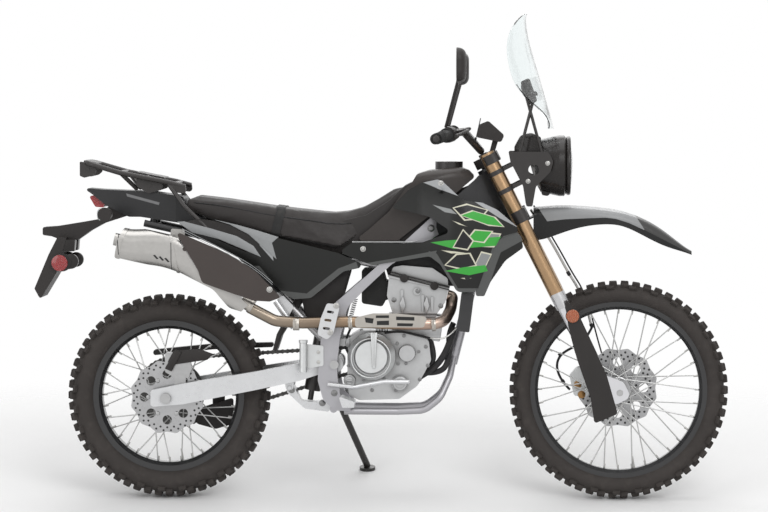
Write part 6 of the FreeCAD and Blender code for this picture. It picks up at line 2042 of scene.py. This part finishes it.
@dataclass
class Studio:
    """A pale floor, a plain pale world and soft lamps, seen from the motorcycle's right."""

    distance: float = EYE_DISTANCE * MM
    foot: tuple[float, float] = EYE_FOOT
    middle: tuple[float, float] = (384.0, 256.0)
    sensor: float = 36.0
    lamps: tuple[tuple[str, tuple[float, float, float], float, float], ...] = (
        ("key_lamp", (2.2, -4.2, 4.6), 3.0, 115.0), ("fill_lamp", (-3.6, -3.8, 2.6), 3.0, 50.0),
        ("top_lamp", (0.0, 0.6, 5.0), 4.0, 85.0), ("back_lamp", (0.5, 4.6, 3.0), 3.0, 50.0))

    def camera(self) -> None:
        """Sets the camera square to the upright side of the leaning motorcycle."""
        data = bpy.data.cameras.new("camera")
        data.sensor_width = self.sensor
        data.lens = self.distance / (PIXEL * VIEW_WIDTH) * self.sensor
        data.clip_end = 60.0
        item = bpy.data.objects.new("camera", data)
        bpy.context.collection.objects.link(item)
        eye = PARKED @ (seen(*self.foot, 0.0) - Vector((0.0, self.distance, 0.0)))
        target = PARKED @ seen(*self.middle, 0.0)
        back = (eye - target).normalized()
        up = (PARKED.to_3x3() @ Vector((0.0, 0.0, 1.0))).normalized()
        side = up.cross(back).normalized()
        turn = Matrix((side, back.cross(side), back)).transposed().to_4x4()
        item.matrix_world = Matrix.Translation(eye) @ turn
        bpy.context.scene.camera = item

    def floor(self) -> None:
        """Lays a floor that shows white to the camera and keeps the shadow."""
        nothing_selected()
        bpy.ops.mesh.primitive_plane_add(size=40.0, location=(0.0, 0.0, -0.0005))
        floor = named("floor")
        graph = Graph("floor_paper")
        broad = graph.noise(2.0, 2.0)
        graph.feed("Base Color", graph.mix(broad, tint((0.88, 0.88, 0.88), 1.0),
                                           tint((0.90, 0.90, 0.90), 1.0)))
        graph.feed("Roughness", 0.9)
        near = graph.add("Mapping", Vector=graph.place, Scale=Vector((0.45, 1.0, 1.0)))
        reach = graph.vector("LENGTH", near.outputs["Vector"])
        blend = graph.add("MixShader", Fac=graph.span(reach.outputs["Value"], 0.6, 1.35))
        graph.put(graph.shader.outputs["BSDF"], blend.inputs[1])
        graph.put(graph.add("BsdfTransparent").outputs["BSDF"], blend.inputs[2])
        graph.put(blend.outputs["Shader"], graph.tree.nodes["Material Output"].inputs["Surface"])
        floor.data.materials.append(graph.material)

    def world(self) -> None:
        """Lights all round, and shows white behind the motorcycle."""
        world = bpy.data.worlds.new("studio")
        bpy.context.scene.world = world
        world.use_nodes = True
        nodes, links = world.node_tree.nodes, world.node_tree.links
        back, path = nodes["Background"], nodes.new("ShaderNodeLightPath")
        seen_by = path.outputs["Is Camera Ray"]
        for kind in ("Is Transmission Ray", "Is Glossy Ray"):
            either = nodes.new("ShaderNodeMath")
            either.operation = "MAXIMUM"
            links.new(seen_by, either.inputs[0])
            links.new(path.outputs[kind], either.inputs[1])
            seen_by = either.outputs[0]
        level = nodes.new("ShaderNodeMapRange")
        level.inputs["To Min"].default_value = 0.5
        level.inputs["To Max"].default_value = 1.0
        links.new(seen_by, level.inputs["Value"])
        links.new(level.outputs["Result"], back.inputs["Strength"])
        back.inputs["Color"].default_value = (1.0, 1.0, 1.0, 1.0)

    def lamp(self, name: str, spot: Vector, aim: Vector, size: float, power: float) -> None:
        """Adds one square soft lamp.

        Args:
            name: its name.
            spot: where it hangs, in metres.
            aim: the point that it faces.
            size: the length of its sides, in metres.
            power: its power, in watts.
        """
        data = bpy.data.lights.new(name, "AREA")
        data.shape, data.size, data.energy = "SQUARE", size, power
        item = bpy.data.objects.new(name, data)
        item.matrix_world = Matrix.Translation(spot) @ toward(spot - aim)
        bpy.context.collection.objects.link(item)

    def build(self) -> None:
        """Sets up camera, floor, world and lamps."""
        self.camera()
        self.floor()
        self.world()
        for name, spot, size, power in self.lamps:
            self.lamp(name, Vector(spot), Vector((0.0, 0.0, 0.6)), size, power)
        bpy.context.scene.view_settings.view_transform = "Standard"


FRONT_ROWS = (KnobRow((0.0, 29.0), (26.0, 12.0)), KnobRow((13.0, 37.5), (13.0, 11.0)))
REAR_ROWS = (KnobRow((0.0, 39.0), (34.0, 17.0)), KnobRow((19.0, 50.0), (20.0, 13.0)))


def main() -> None:
    """Builds the studio and then each sub-assembly in order."""
    logging.basicConfig(level=logging.INFO, format="%(message)s")
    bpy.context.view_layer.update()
    Studio().build()
    dress_nodes()
    Tyre("front_tyre", "front_wheel", FRONT_HUB, radius=348.3, half_width=44.0, bead=284.0, pitches=29,
         rows=FRONT_ROWS).build()
    Tyre("rear_tyre", "rear_wheel", REAR_HUB, radius=325.3, half_width=59.0, bead=243.0, pitches=28,
         rows=REAR_ROWS).build()
    WheelTrim("front_wheel", "front_wheel", FRONT_HUB, bore=257.0, spokes=36, disc_side=62.0,
              buttons=46.0).build()
    WheelTrim("rear_wheel", "rear_wheel", REAR_HUB, bore=215.0, spokes=36, disc_side=-72.0,
              buttons=60.0).build()
    for assembly in (Chain(), Seat(), EngineTrim(), BodyTrim(), TailTrim(), ExhaustTrim(), Headlamp(),
                     Cockpit(), ForkTrim()):
        assembly.build()


if __name__ == "__main__":
    main()
